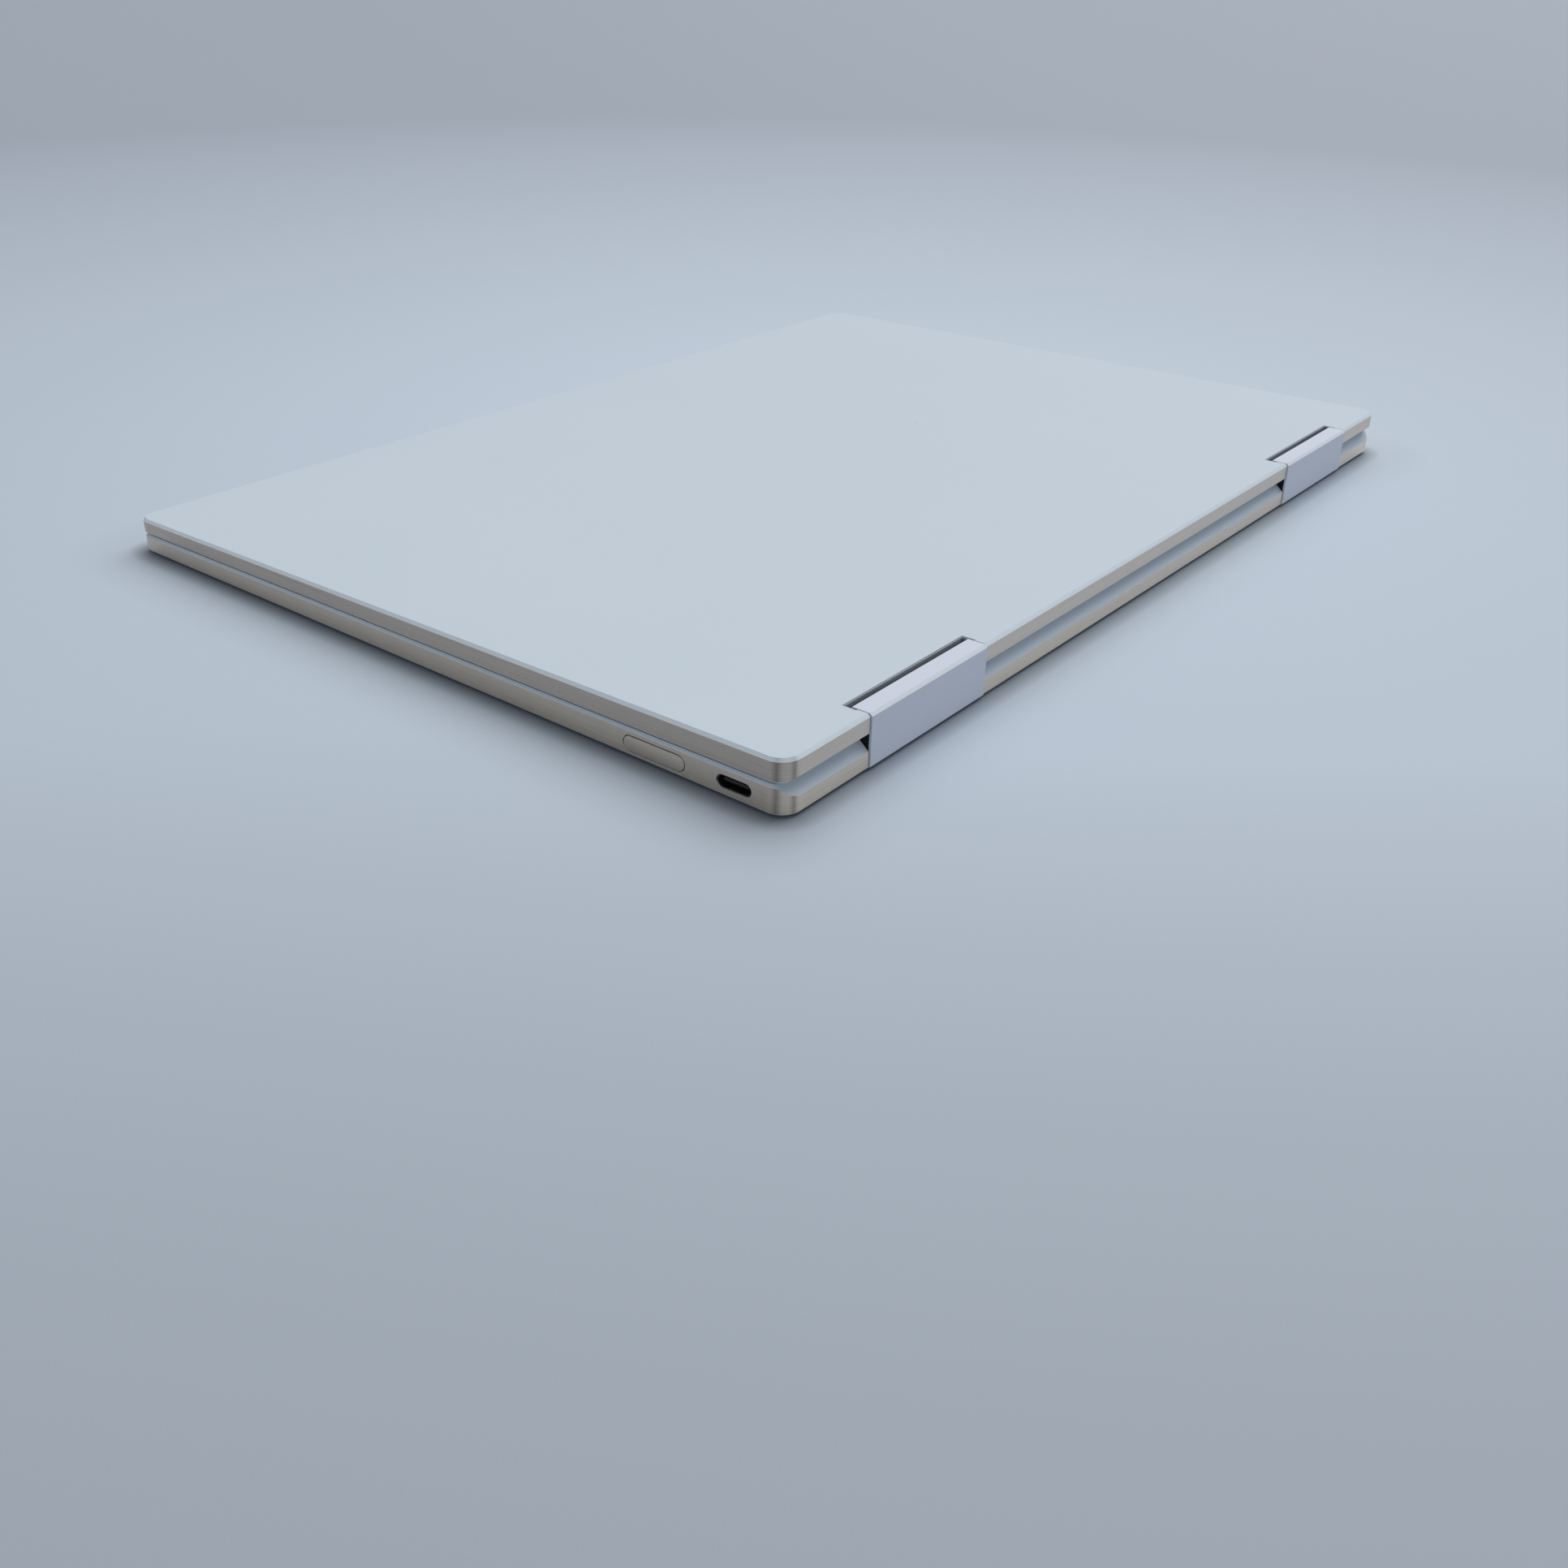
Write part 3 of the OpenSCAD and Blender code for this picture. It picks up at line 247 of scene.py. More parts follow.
# Painted reflection streaks round a corner, darker bands on the metal: middle and half width in
# degrees from the side, and strength
corner_painted_reflections = [(25, 15, 0.62), (68, 12, 0.66)]


def make_side_band():
    """Masks for the outside of a shell, from where a face is and how it leans.

    Band: the upright faces. Under: the fine cut below them. Chamfer: the leaning rim above them,
    with Line along its lower edge; Rear is 1 where the rim also runs at the rear. Streak: two soft
    upright streaks of painted reflection round each corner. Shade: those as painted shade, and Side
    on the left and right, where the sides are painted darker."""
    group, given, result = new_effect(
        "side band",
        [("Slack", NUMBER, side_slack), ("Rear", NUMBER, 1.0), ("Side", NUMBER, 0.2)],
        ["Band", "Under", "Chamfer", "Line", "Streak", "Shade"],
    )
    place = add(group, "ShaderNodeTexCoord")
    spot = add(group, "ShaderNodeSeparateXYZ")
    feed(group, spot, 0, place.outputs["Object"])
    facing = add(group, "ShaderNodeSeparateXYZ")
    feed(group, facing, 0, place.outputs["Normal"])
    over = []
    for axis, half in ((0, half_width), (1, rear_edge)):
        size = sum_of(group, "ABSOLUTE", spot.outputs[axis])
        over.append(sum_of(group, "SUBTRACT", size, half - corner_radius))
    outside = [sum_of(group, "MAXIMUM", value, 0.0) for value in over]
    squares = [sum_of(group, "MULTIPLY", value, value) for value in outside]
    reach = sum_of(group, "SQRT", sum_of(group, "ADD", *squares))
    inner = sum_of(group, "MINIMUM", sum_of(group, "MAXIMUM", *over), 0.0)
    depth_in = sum_of(group, "SUBTRACT", corner_radius, sum_of(group, "ADD", reach, inner))
    lean = facing.outputs[2]
    upright = sum_of(group, "LESS_THAN", sum_of(group, "ABSOLUTE", lean), upright_lean)
    at_edge = sum_of(group, "LESS_THAN", depth_in, given["Slack"])
    feed(group, result, "Band", sum_of(group, "MULTIPLY", upright, at_edge))
    leaning = sum_of(group, "LESS_THAN", lean, -upright_lean)
    not_level = sum_of(group, "GREATER_THAN", lean, -level_lean)
    under = sum_of(group, "MULTIPLY", leaning, not_level)
    feed(group, result, "Under", sum_of(group, "MULTIPLY", under, at_edge))
    rising = sum_of(group, "COMPARE", lean, *rim_lean)
    beside = sum_of(group, "GREATER_THAN", over[0], corner_radius - rim_reach)
    on_rim = sum_of(group, "LESS_THAN", depth_in, rim_reach)
    wanted = sum_of(group, "MULTIPLY", on_rim, sum_of(group, "MAXIMUM", beside, given["Rear"]))
    chamfer = sum_of(group, "MULTIPLY", rising, wanted)
    feed(group, result, "Chamfer", chamfer)
    low = sum_of(group, "LESS_THAN", depth_in, line_reach)
    feed(group, result, "Line", sum_of(group, "MULTIPLY", chamfer, low))
    # Painted reflection: two soft darker streaks round each corner
    turn = sum_of(group, "ARCTAN2", outside[1], outside[0])
    painted_reflection = 0.0
    for middle, half, depth in corner_painted_reflections:
        off = sum_of(group, "ABSOLUTE", sum_of(group, "SUBTRACT", turn, math.radians(middle)))
        share = spread(group, off, 0.0, math.radians(half), depth, 0.0)
        painted_reflection = sum_of(group, "ADD", share, painted_reflection)
    feed(group, result, "Streak", painted_reflection)
    # Painted shade: the left and right sides are painted darker by Side
    side = sum_of(group, "MULTIPLY", sum_of(group, "COSINE", turn), given["Side"])
    shade = sum_of(group, "ADD", painted_reflection, side)
    feed(group, result, "Shade", shade)
    return group


def make_traces():
    """Straight copper runs under solder mask, in two directions, with round pads."""
    group, given, result = new_effect("traces", [("Scale", NUMBER, 900.0)], ["Run", "Pad"])
    place = add(group, "ShaderNodeTexCoord")
    zones = add(group, "ShaderNodeTexVoronoi", distance="CHEBYCHEV")
    feed(group, zones, "Vector", place.outputs["Object"])
    feed(group, zones, "Scale", 120.0)
    pick = add(group, "ShaderNodeSeparateColor")
    feed(group, pick, 0, zones.outputs["Color"])
    spot = add(group, "ShaderNodeSeparateXYZ")
    feed(group, spot, 0, place.outputs["Object"])
    stripes = []
    for axis in (0, 1):
        along = sum_of(group, "MULTIPLY", spot.outputs[axis], given["Scale"])
        stripes.append(sum_of(group, "LESS_THAN", sum_of(group, "FRACT", along), 0.35))
    across = sum_of(group, "GREATER_THAN", pick.outputs[0], 0.5)
    first = sum_of(group, "MULTIPLY", stripes[0], across)
    other = sum_of(group, "MULTIPLY", stripes[1], sum_of(group, "SUBTRACT", 1.0, across))
    feed(group, result, "Run", sum_of(group, "ADD", first, other, clamp=True))
    pads = add(group, "ShaderNodeTexVoronoi")
    feed(group, pads, "Vector", place.outputs["Object"])
    feed(group, pads, "Scale", 500.0)
    feed(group, result, "Pad", sum_of(group, "LESS_THAN", pads.outputs["Distance"], 0.16))
    return group


grain = make_grain()
specks = make_specks()
side_band = make_side_band()
traces = make_traces()


def use(tree, effect, output=0, **values):
    node = add(tree, "ShaderNodeGroup", node_tree=effect)
    for name, value in values.items():
        feed(tree, node, name.replace("_", " ").capitalize(), value)
    return node.outputs[output]


def new_finish(name, colour, roughness, metallic=0.0, **gloss):
    """A material with its shader's even values set; the uneven ones are linked later."""
    finish = bpy.data.materials.new(name)
    finish.use_nodes = True
    finish.diffuse_color = (*colour, 1)
    tree = finish.node_tree
    shader = tree.nodes["Principled BSDF"]
    feed(tree, shader, "Base Color", (*colour, 1))
    feed(tree, shader, "Roughness", roughness)
    feed(tree, shader, "Metallic", metallic)
    for socket, value in gloss.items():
        feed(tree, shader, socket.replace("_", " "), value)
    return finish, tree, shader


def roughen(tree, shader, height, strength, depth):
    """Raise the surface by a height value, at most by depth."""
    bump = add(tree, "ShaderNodeBump")
    feed(tree, bump, "Strength", strength)
    feed(tree, bump, "Distance", depth)
    feed(tree, bump, "Height", height)
    feed(tree, shader, "Normal", bump.outputs[0])


def toned(name, dark, light, rough, metallic=0.0, scale=1500.0, stretch=(1, 1, 1),
          depth=0.00002, strength=0.3, **gloss):
    """One tone with a fine grain: colour, gloss and surface all follow the same noise."""
    finish, tree, shader = new_finish(name, light, rough[0], metallic, **gloss)
    fine = use(tree, grain, scale=scale, stretch=stretch, detail=3.0)
    cloud = use(tree, grain, scale=60.0, detail=2.0)
    both = sum_of(tree, "MULTIPLY_ADD", cloud, 0.4, sum_of(tree, "MULTIPLY", fine, 0.6))
    feed(tree, shader, "Base Color", blend_colours(tree, both, dark, light))
    feed(tree, shader, "Roughness", spread(tree, both, 0.0, 1.0, rough[0], rough[1]))
    roughen(tree, shader, fine, strength, depth)
    return finish


# ---- finishes ----

white_paint = (0.655, 0.724, 0.792)
white_paint_low = (0.638, 0.708, 0.778)
# Painted highlight: the chamfers are painted lighter than the flat paint
white_rim_painted_highlight = (0.79, 0.86, 0.92)
lid_metal = ((0.64, 0.555, 0.48), (0.77, 0.67, 0.58))
base_metal = ((0.73, 0.63, 0.52), (0.88, 0.765, 0.635))
# Painted shade tone that the metal sides and the corner streaks are darkened towards
metal_shade = (0.26, 0.225, 0.195)
metal_gloss = (0.26, 0.34)
# Painted shade tone for the chamfers round the corners
rim_shade = (0.30, 0.33, 0.36)
# Painted highlight on the fine cut edges: near white, on real cut edges
cut_edge_painted_highlight = (0.88, 0.88, 0.87)
dust_grey = (0.3, 0.31, 0.33)

block_paint = (0.735, 0.762, 0.862)
block_paint_low = (0.715, 0.745, 0.845)
# Painted highlight: the hinge blocks' chamfers are painted lighter than their flat paint
block_rim_painted_highlight = (0.86, 0.90, 0.97)
# Near black for each block end low down, short of its rear face
block_end_dark = (0.012, 0.013, 0.016)
block_end_dark_rear = rear_edge - 0.3 * mm
block_end_dark_top = 8.4 * mm

port_metal = ((0.07, 0.07, 0.075), (0.14, 0.14, 0.145))
port_tongue = (0.02, 0.02, 0.022)
contact_gold = (0.75, 0.55, 0.25)
pad_gold = (0.78, 0.62, 0.33)


def brushing(tree):
    """Fine level brush lines along the sides."""
    return use(tree, grain, scale=1.0, stretch=(14.0, 14.0, 16000.0), detail=2.0,
               low=0.25, high=0.75)


def shell_finish(name, metal_tones, rear_rim, side_shade):
    """Satin white paint with brushed champagne sides; the chamfers are painted pale as a painted
    highlight, the fine cut edges are painted bright as a painted highlight on real cuts, and the
    sides carry painted shade and painted reflection streaks.
    """
    finish, tree, shader = new_finish(name, white_paint, 0.4, 0.0, Specular_IOR_Level=0.25)
    band = use(tree, side_band, "Band", rear=rear_rim)
    under = use(tree, side_band, "Under", rear=rear_rim)
    chamfer = use(tree, side_band, "Chamfer", rear=rear_rim)
    line = use(tree, side_band, "Line", rear=rear_rim)
    peel = use(tree, grain, scale=2600.0, detail=2.0)
    cloud = use(tree, grain, scale=14.0, detail=3.0)
    brush = brushing(tree)
    dust = use(tree, specks, scale=110.0, size=0.035, share=0.05)
    painted = blend_colours(tree, cloud, white_paint_low, white_paint)
    painted = blend_colours(tree, sum_of(tree, "MULTIPLY", dust, 0.35), painted, dust_grey)
    # Painted highlight on the chamfers, given half of the corner's painted reflection streaks as
    # painted shade
    painted_reflection = use(tree, side_band, "Streak", rear=rear_rim)
    rim = blend_colours(tree, sum_of(tree, "MULTIPLY", painted_reflection, 0.5), white_rim_painted_highlight, rim_shade)
    painted = blend_colours(tree, chamfer, painted, rim)
    # Painted shade: the brushed metal is darkened towards metal_shade by the corner's painted
    # reflection streaks and by side_shade on the left and right
    shade = use(tree, side_band, "Shade", rear=rear_rim, side=side_shade)
    metal = blend_colours(tree, shade, blend_colours(tree, brush, *metal_tones), metal_shade)
    colour = blend_colours(tree, band, painted, metal)
    # Painted highlight: the fine cut below the band and the line along the chamfer's lower edge are
    # painted near white; the cut edges are real, their brightness painted
    bright = sum_of(tree, "MAXIMUM", under, line)
    feed(tree, shader, "Base Color", blend_colours(tree, bright, colour, cut_edge_painted_highlight))
    paint_gloss = spread(tree, cloud, 0.0, 1.0, 0.55, 0.62)
    band_gloss = spread(tree, brush, 0.0, 1.0, *metal_gloss)
    gloss = add(tree, "ShaderNodeMix", data_type="FLOAT")
    feed(tree, gloss, 0, band)
    feed(tree, gloss, 2, paint_gloss)
    feed(tree, gloss, 3, band_gloss)
    feed(tree, shader, "Roughness", gloss.outputs[0])
    feed(tree, shader, "Metallic", sum_of(tree, "MULTIPLY", band, 0.9))
    lines = sum_of(tree, "MULTIPLY", brush, sum_of(tree, "MULTIPLY", band, 3.0))
    height = sum_of(tree, "MULTIPLY_ADD", peel, 0.2, lines)
    roughen(tree, shader, height, 0.6, 0.00001)
    return finish


def block_finish():
    """Satin white paint on a hinge block, with a painted highlight on its chamfers and each end
    made near black low down, short of the rear face.
    """
    finish, tree, shader = new_finish("block paint", block_paint, 0.5, 0.0, Specular_IOR_Level=0.25)
    place = add(tree, "ShaderNodeTexCoord")
    facing = add(tree, "ShaderNodeSeparateXYZ")
    feed(tree, facing, 0, place.outputs["Normal"])
    spot = add(tree, "ShaderNodeSeparateXYZ")
    feed(tree, spot, 0, place.outputs["Object"])
    # Each end face is made near black low down, short of the rear face
    end = sum_of(tree, "GREATER_THAN", sum_of(tree, "ABSOLUTE", facing.outputs[0]), 0.9)
    for axis, limit in ((1, block_end_dark_rear), (2, block_end_dark_top)):
        short_of = sum_of(tree, "LESS_THAN", spot.outputs[axis], limit)
        end = sum_of(tree, "MULTIPLY", end, short_of)
    # Painted highlight: the block's leaning chamfer faces are painted lighter than its flat paint
    rim = sum_of(tree, "COMPARE", facing.outputs[2], *rim_lean)
    peel = use(tree, grain, scale=2600.0, detail=2.0)
    cloud = use(tree, grain, scale=30.0, detail=3.0)
    painted = blend_colours(tree, cloud, block_paint_low, block_paint)
    painted = blend_colours(tree, rim, painted, block_rim_painted_highlight)
    feed(tree, shader, "Base Color", blend_colours(tree, end, painted, block_end_dark))
    feed(tree, shader, "Roughness", spread(tree, cloud, 0.0, 1.0, 0.5, 0.6))
    roughen(tree, shader, peel, 0.25, 0.00001)
    return finish


def champagne_finish():
    """The power button's brushed metal, in the base's own tones."""
    finish, tree, shader = new_finish("champagne metal", base_metal[1], 0.4, 0.92)
    brush = brushing(tree)
    metal = blend_colours(tree, brush, *base_metal)
    # Painted shade: the button's metal is darkened evenly towards metal_shade, by as much as the
    # base's sides
    feed(tree, shader, "Base Color", blend_colours(tree, 0.24, metal, metal_shade))
    feed(tree, shader, "Roughness", spread(tree, brush, 0.0, 1.0, *metal_gloss))
    roughen(tree, shader, brush, 0.6, 0.00003)
    return finish


def screen_finish():
    """Polished glass over a dark display: the picture area is a shade lighter than its border."""
    finish, tree, shader = new_finish("screen glass", (0.006, 0.006, 0.008), 0.04, 0.0,
                                      Coat_Weight=0.3)
    place = add(tree, "ShaderNodeTexCoord")
    spot = add(tree, "ShaderNodeSeparateXYZ")
    feed(tree, spot, 0, place.outputs["Object"])
    off = sum_of(tree, "SUBTRACT", spot.outputs[1], picture_middle)
    inside = [sum_of(tree, "LESS_THAN", sum_of(tree, "ABSOLUTE", value), half)
              for value, half in zip((spot.outputs[0], off), picture_half)]
    picture = sum_of(tree, "MULTIPLY", *inside)
    smudge = use(tree, grain, scale=18.0, detail=4.0, low=0.45, high=0.7)
    feed(tree, shader, "Base Color",
         blend_colours(tree, picture, (0.004, 0.004, 0.005), (0.011, 0.012, 0.015)))
    feed(tree, shader, "Roughness", spread(tree, smudge, 0.0, 1.0, 0.035, 0.09))
    return finish


def circuit_finish(name, mask_dark, mask_light):
    """Solder mask over copper runs, with bare gold pads."""
    finish, tree, shader = new_finish(name, mask_light, 0.45)
    run = use(tree, traces, "Run", scale=1300.0)
    pad = use(tree, traces, "Pad", scale=1300.0)
    colour = blend_colours(tree, run, mask_dark, mask_light)
    feed(tree, shader, "Base Color", blend_colours(tree, pad, colour, pad_gold))
    feed(tree, shader, "Metallic", pad)
    feed(tree, shader, "Roughness", spread(tree, run, 0.0, 1.0, 0.5, 0.36))
    roughen(tree, shader, run, 0.4, 0.00003)
    return finish


def port_finish(name, side, middle):
    """A very dark metal shell outside; inside it a black tongue with gold contacts."""
    finish, tree, shader = new_finish(name, (0.12, 0.12, 0.125), 0.35, 0.9)
    place = add(tree, "ShaderNodeTexCoord")
    spot = add(tree, "ShaderNodeSeparateXYZ")
    feed(tree, spot, 0, place.outputs["Object"])
    off = sum_of(tree, "ABSOLUTE", sum_of(tree, "SUBTRACT", spot.outputs[1], middle))
    level = foot_height + port_height - (rear_edge - middle) * math.tan(wedge)
    rise = sum_of(tree, "ABSOLUTE", sum_of(tree, "SUBTRACT", spot.outputs[2], level))
    reach = sum_of(tree, "MULTIPLY", spot.outputs[0], side)
    bar = sum_of(tree, "FRACT", sum_of(tree, "DIVIDE", off, contact_pitch))

    def within(mask, *limits):
        for value, limit in limits:
            mask = sum_of(tree, "MULTIPLY", mask, sum_of(tree, "LESS_THAN", value, limit))
        return mask

    tongue = within(1.0, (off, tongue_half[0]), (rise, tongue_half[1]),
                    (reach, half_width - tongue_recess))
    contact = within(tongue, (bar, 0.5), (off, contacts_half),
                     (reach, half_width - contacts_recess))
    rolled = use(tree, grain, scale=300.0, stretch=(1.0, 6.0, 6.0), detail=3.0)
    metal = blend_colours(tree, rolled, *port_metal)
    colour = blend_colours(tree, tongue, metal, port_tongue)
    feed(tree, shader, "Base Color", blend_colours(tree, contact, colour, contact_gold))
    keep = sum_of(tree, "SUBTRACT", 1.0, sum_of(tree, "SUBTRACT", tongue, contact))
    feed(tree, shader, "Metallic", sum_of(tree, "MULTIPLY", keep, 0.9))
    feed(tree, shader, "Roughness", spread(tree, rolled, 0.0, 1.0, 0.24, 0.38))
    return finish


finishes = {
    "lid_shell": shell_finish("lid paint and metal", lid_metal, 1.0, 0.37),
    "base_shell": shell_finish("base paint and metal", base_metal, 0.0, 0.24),
    "painted_cover": toned("cover paint", white_paint_low, white_paint, (0.55, 0.62), scale=2600.0,
                           depth=0.00001, strength=0.25, Specular_IOR_Level=0.25),
    "painted_block": block_finish(),
    "champagne": champagne_finish(),
    "liner": toned("liner plastic", (0.25, 0.275, 0.315), (0.36, 0.39, 0.445), (0.55, 0.75),
                   scale=2200.0, depth=0.00006, strength=0.8),
    "keycap": toned("keycap plastic", (0.66, 0.69, 0.72), (0.70, 0.73, 0.76), (0.5, 0.62),
                    scale=3200.0, depth=0.00001, strength=0.35),
    "touch_glass": toned("touchpad glass", (0.64, 0.67, 0.70), (0.67, 0.70, 0.73), (0.3, 0.38),
                         scale=4000.0, depth=0.000004, strength=0.2, Coat_Weight=0.2),
    "steel": toned("rolled steel", (0.36, 0.36, 0.37), (0.5, 0.5, 0.51), (0.3, 0.45), 0.95,
                   scale=900.0, stretch=(0.08, 1.0, 1.0)),
    "core_steel": toned("block core steel", (0.30, 0.30, 0.31), (0.42, 0.42, 0.43), (0.32, 0.5),
                        0.95, scale=1200.0, stretch=(0.1, 1.0, 1.0)),
    "bright": toned("bright nickel", (0.58, 0.58, 0.59), (0.72, 0.72, 0.73), (0.16, 0.28), 0.95,
                    scale=800.0),
    "screw": toned("screw steel", (0.42, 0.42, 0.43), (0.66, 0.66, 0.67), (0.22, 0.36), 0.95,
                   scale=1500.0),
    "magnet": toned("magnet plating", (0.48, 0.48, 0.5), (0.6, 0.6, 0.62), (0.2, 0.34), 0.9),
    "copper": toned("copper pipe", (0.52, 0.24, 0.13), (0.76, 0.42, 0.27), (0.26, 0.44), 0.95,
                    scale=500.0, stretch=(0.1, 1.0, 1.0)),
    "fin": toned("cooling fin aluminium", (0.55, 0.56, 0.58), (0.7, 0.71, 0.73), (0.25, 0.4), 0.95,
                 scale=900.0, stretch=(1.0, 0.2, 1.0)),
    "foil": toned("cell foil", (0.10, 0.105, 0.115), (0.17, 0.175, 0.185), (0.34, 0.5), 0.5,
                  scale=260.0, depth=0.00012, strength=0.35),
    "panel_foil": toned("panel foil", (0.44, 0.45, 0.46), (0.58, 0.59, 0.60), (0.3, 0.42), 0.8,
                        scale=140.0, depth=0.00006, strength=0.25),
    "chip": toned("chip resin", (0.018, 0.018, 0.02), (0.04, 0.04, 0.044), (0.42, 0.6),
                  scale=2600.0),
    "black": toned("black plastic", (0.02, 0.02, 0.022), (0.045, 0.045, 0.05), (0.45, 0.62),
                   scale=2000.0, depth=0.00004, strength=0.5),
    "fan_black": toned("fan plastic", (0.015, 0.016, 0.018), (0.035, 0.036, 0.04), (0.3, 0.45),
                       scale=1500.0),
    "speaker": toned("speaker plastic", (0.02, 0.02, 0.021), (0.05, 0.05, 0.053), (0.5, 0.7),
                     scale=1200.0, depth=0.00008, strength=0.6),
    "foot": toned("foot rubber", (0.13, 0.14, 0.15), (0.19, 0.20, 0.215), (0.72, 0.88),
                  scale=2400.0, depth=0.00005, strength=0.6),
    "gasket": toned("gasket rubber", (0.012, 0.012, 0.013), (0.028, 0.028, 0.03), (0.62, 0.8),
                    scale=2400.0, depth=0.00004, strength=0.5),
    "silicone": toned("dome silicone", (0.55, 0.57, 0.59), (0.66, 0.68, 0.70), (0.4, 0.55),
                      scale=900.0, Subsurface_Weight=0.2),
    "lens": toned("coated lens", (0.004, 0.005, 0.016), (0.012, 0.014, 0.045), (0.03, 0.06),
                  scale=400.0, depth=0.000001, strength=0.1, Coat_Weight=1.0),
    "screen": screen_finish(),
    "green_board": circuit_finish("green board", (0.010, 0.062, 0.040), (0.018, 0.105, 0.066)),
    "blue_board": circuit_finish("blue board", (0.010, 0.025, 0.075), (0.016, 0.045, 0.125)),
    "black_board": circuit_finish("black board", (0.012, 0.013, 0.015), (0.035, 0.037, 0.04)),
    "right_port": port_finish("right port", 1.0, right_port),
    "left_port": port_finish("left port", -1.0, left_port),
}

node_finish = {
    "top_case": "base_shell", "lid_cover": "lid_shell", "bottom_cover": "painted_cover",
    "hinge_cover_right": "painted_block", "hinge_cover_left": "painted_block",
    "hinge_core_right": "core_steel", "hinge_core_left": "core_steel",
    "bottom_screws": "screw", "inner_screws": "screw", "lid_screws": "screw",
    "keyboard_plate": "steel", "dome_sheet": "silicone", "touchpad_bracket": "steel",
    "mainboard": "green_board", "io_board": "green_board", "ssd_module": "black_board",
    "wifi_card": "blue_board", "display_board": "green_board", "processor": "chip",
    "memory_chips": "chip", "heat_pipe": "copper", "heat_sink_fins": "fin",
    "fan_housing": "fan_black", "fan_impeller": "fan_black", "battery_cells": "foil",
    "battery_frame": "black", "speaker_right": "speaker", "speaker_left": "speaker",
    "usb_socket_right": "right_port", "usb_socket_left": "left_port", "audio_socket": "black",
    "power_switch": "black", "base_hinge_brackets": "steel", "lid_hinge_brackets": "steel",
    "base_hinge_shafts": "bright", "lid_hinge_shafts": "bright",
    "base_hinge_washers": "core_steel", "lid_hinge_washers": "core_steel",
    "base_hinge_liners": "liner", "lid_hinge_liners": "liner",
    "base_magnets": "magnet", "lid_magnets": "magnet", "display_glass": "screen",
    "display_panel": "panel_foil", "display_gasket": "gasket", "camera_module": "black",
    "camera_lens": "lens", "power_button": "champagne", "touchpad": "touch_glass",
    "rubber_feet": "foot", "keys_function_row": "keycap", "keys_number_row": "keycap",
    "keys_upper_row": "keycap", "keys_home_row": "keycap", "keys_lower_row": "keycap",
    "keys_bottom_row": "keycap", "space_bar": "keycap", "enter_key": "keycap",
}


def paint_nodes():
    for name, key in node_finish.items():
        for place in shell[name].material_slots:
            place.material = finishes[key]


paint_nodes()

# ---- softly edged pieces ----


def rounded_outline(x0, x1, y0, y1, radius, steps):
    """Points round a rectangle with round corners, anticlockwise from above."""
    points = []
    for cx, cy, start in ((x1 - radius, y1 - radius, 0), (x0 + radius, y1 - radius, 90),
                          (x0 + radius, y0 + radius, 180), (x1 - radius, y0 + radius, 270)):
        for i in range(steps + 1):
            turn = math.radians(start + 90 * i / steps)
            points.append((cx + radius * math.cos(turn), cy + radius * math.sin(turn)))
    return points


def stack_rings(rings, close_start=True):
    """Points and faces of a skin through rings that all have the same number of points."""
    count = len(rings[0])
    points = [p for ring in rings for p in ring]
    faces = []
    for k in range(len(rings) - 1):
        for i in range(count):
            j = (i + 1) % count
            faces.append((k * count + i, k * count + j, (k + 1) * count + j, (k + 1) * count + i))
    if close_start:
        faces.append(tuple(range(count - 1, -1, -1)))
    last = (len(rings) - 1) * count
    faces.append(tuple(range(last, last + count)))
    return points, faces


def piece_from(name, parts, finish, body, replaced, place=seat):
    """Join (points, faces) parts into one piece, set it in the laptop and let it ride."""
    points, faces = [], []
    for part_points, part_faces in parts:
        first = len(points)
        points += part_points
        faces += [tuple(first + i for i in face) for face in part_faces]
    mesh = bpy.data.meshes.new(name)
    mesh.from_pydata([place @ Vector(p) for p in points], [], faces)
    mesh.validate()
    mesh.materials.append(finishes[finish])
    for face in mesh.polygons:
        face.use_smooth = True
    mesh.set_sharp_from_angle(angle=math.radians(35))
    piece = bpy.data.objects.new(name, mesh)
    scene.collection.objects.link(piece)
    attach(piece, body)
    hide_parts(replaced)


def edge_rings(outline_at, low, high, radius):
    """Rings up the side of a plate whose upper edge is rounded by radius."""
    rings = [outline_at(0, low)]
    for i in range(edge_steps + 1):
        turn = math.radians(90 * i / edge_steps)
        inset = radius * (1 - math.cos(turn))
        rings.append(outline_at(inset, high - radius * (1 - math.sin(turn))))
    return rings


def keycap_part(x0, x1, y0, y1):
    """A hollow cap with a soft upper edge and a shallow dish in its top."""
    def outline(inset, z):
        corner = cap_corner - min(inset, 0.8 * mm)
        return [(x, y, z) for x, y in rounded_outline(
            x0 + inset, x1 - inset, y0 + inset, y1 - inset, corner, 4)]

    bottom = cap_top - cap_height
    rings = [outline(cap_wall, cap_top - cap_roof), outline(cap_wall, bottom)]
    rings += edge_rings(outline, bottom, cap_top, cap_edge)
    mx, my = (x0 + x1) / 2, (y0 + y1) / 2
    rim = rings[-1]
    for share in (0.92, 0.8, 0.6, 0.35, 0.12):
        sink = cap_dish * (1 - share * share)
        rings.append([(mx + (x - mx) * share, my + (y - my) * share, z - sink)
                      for x, y, z in rim])
    return stack_rings(rings)


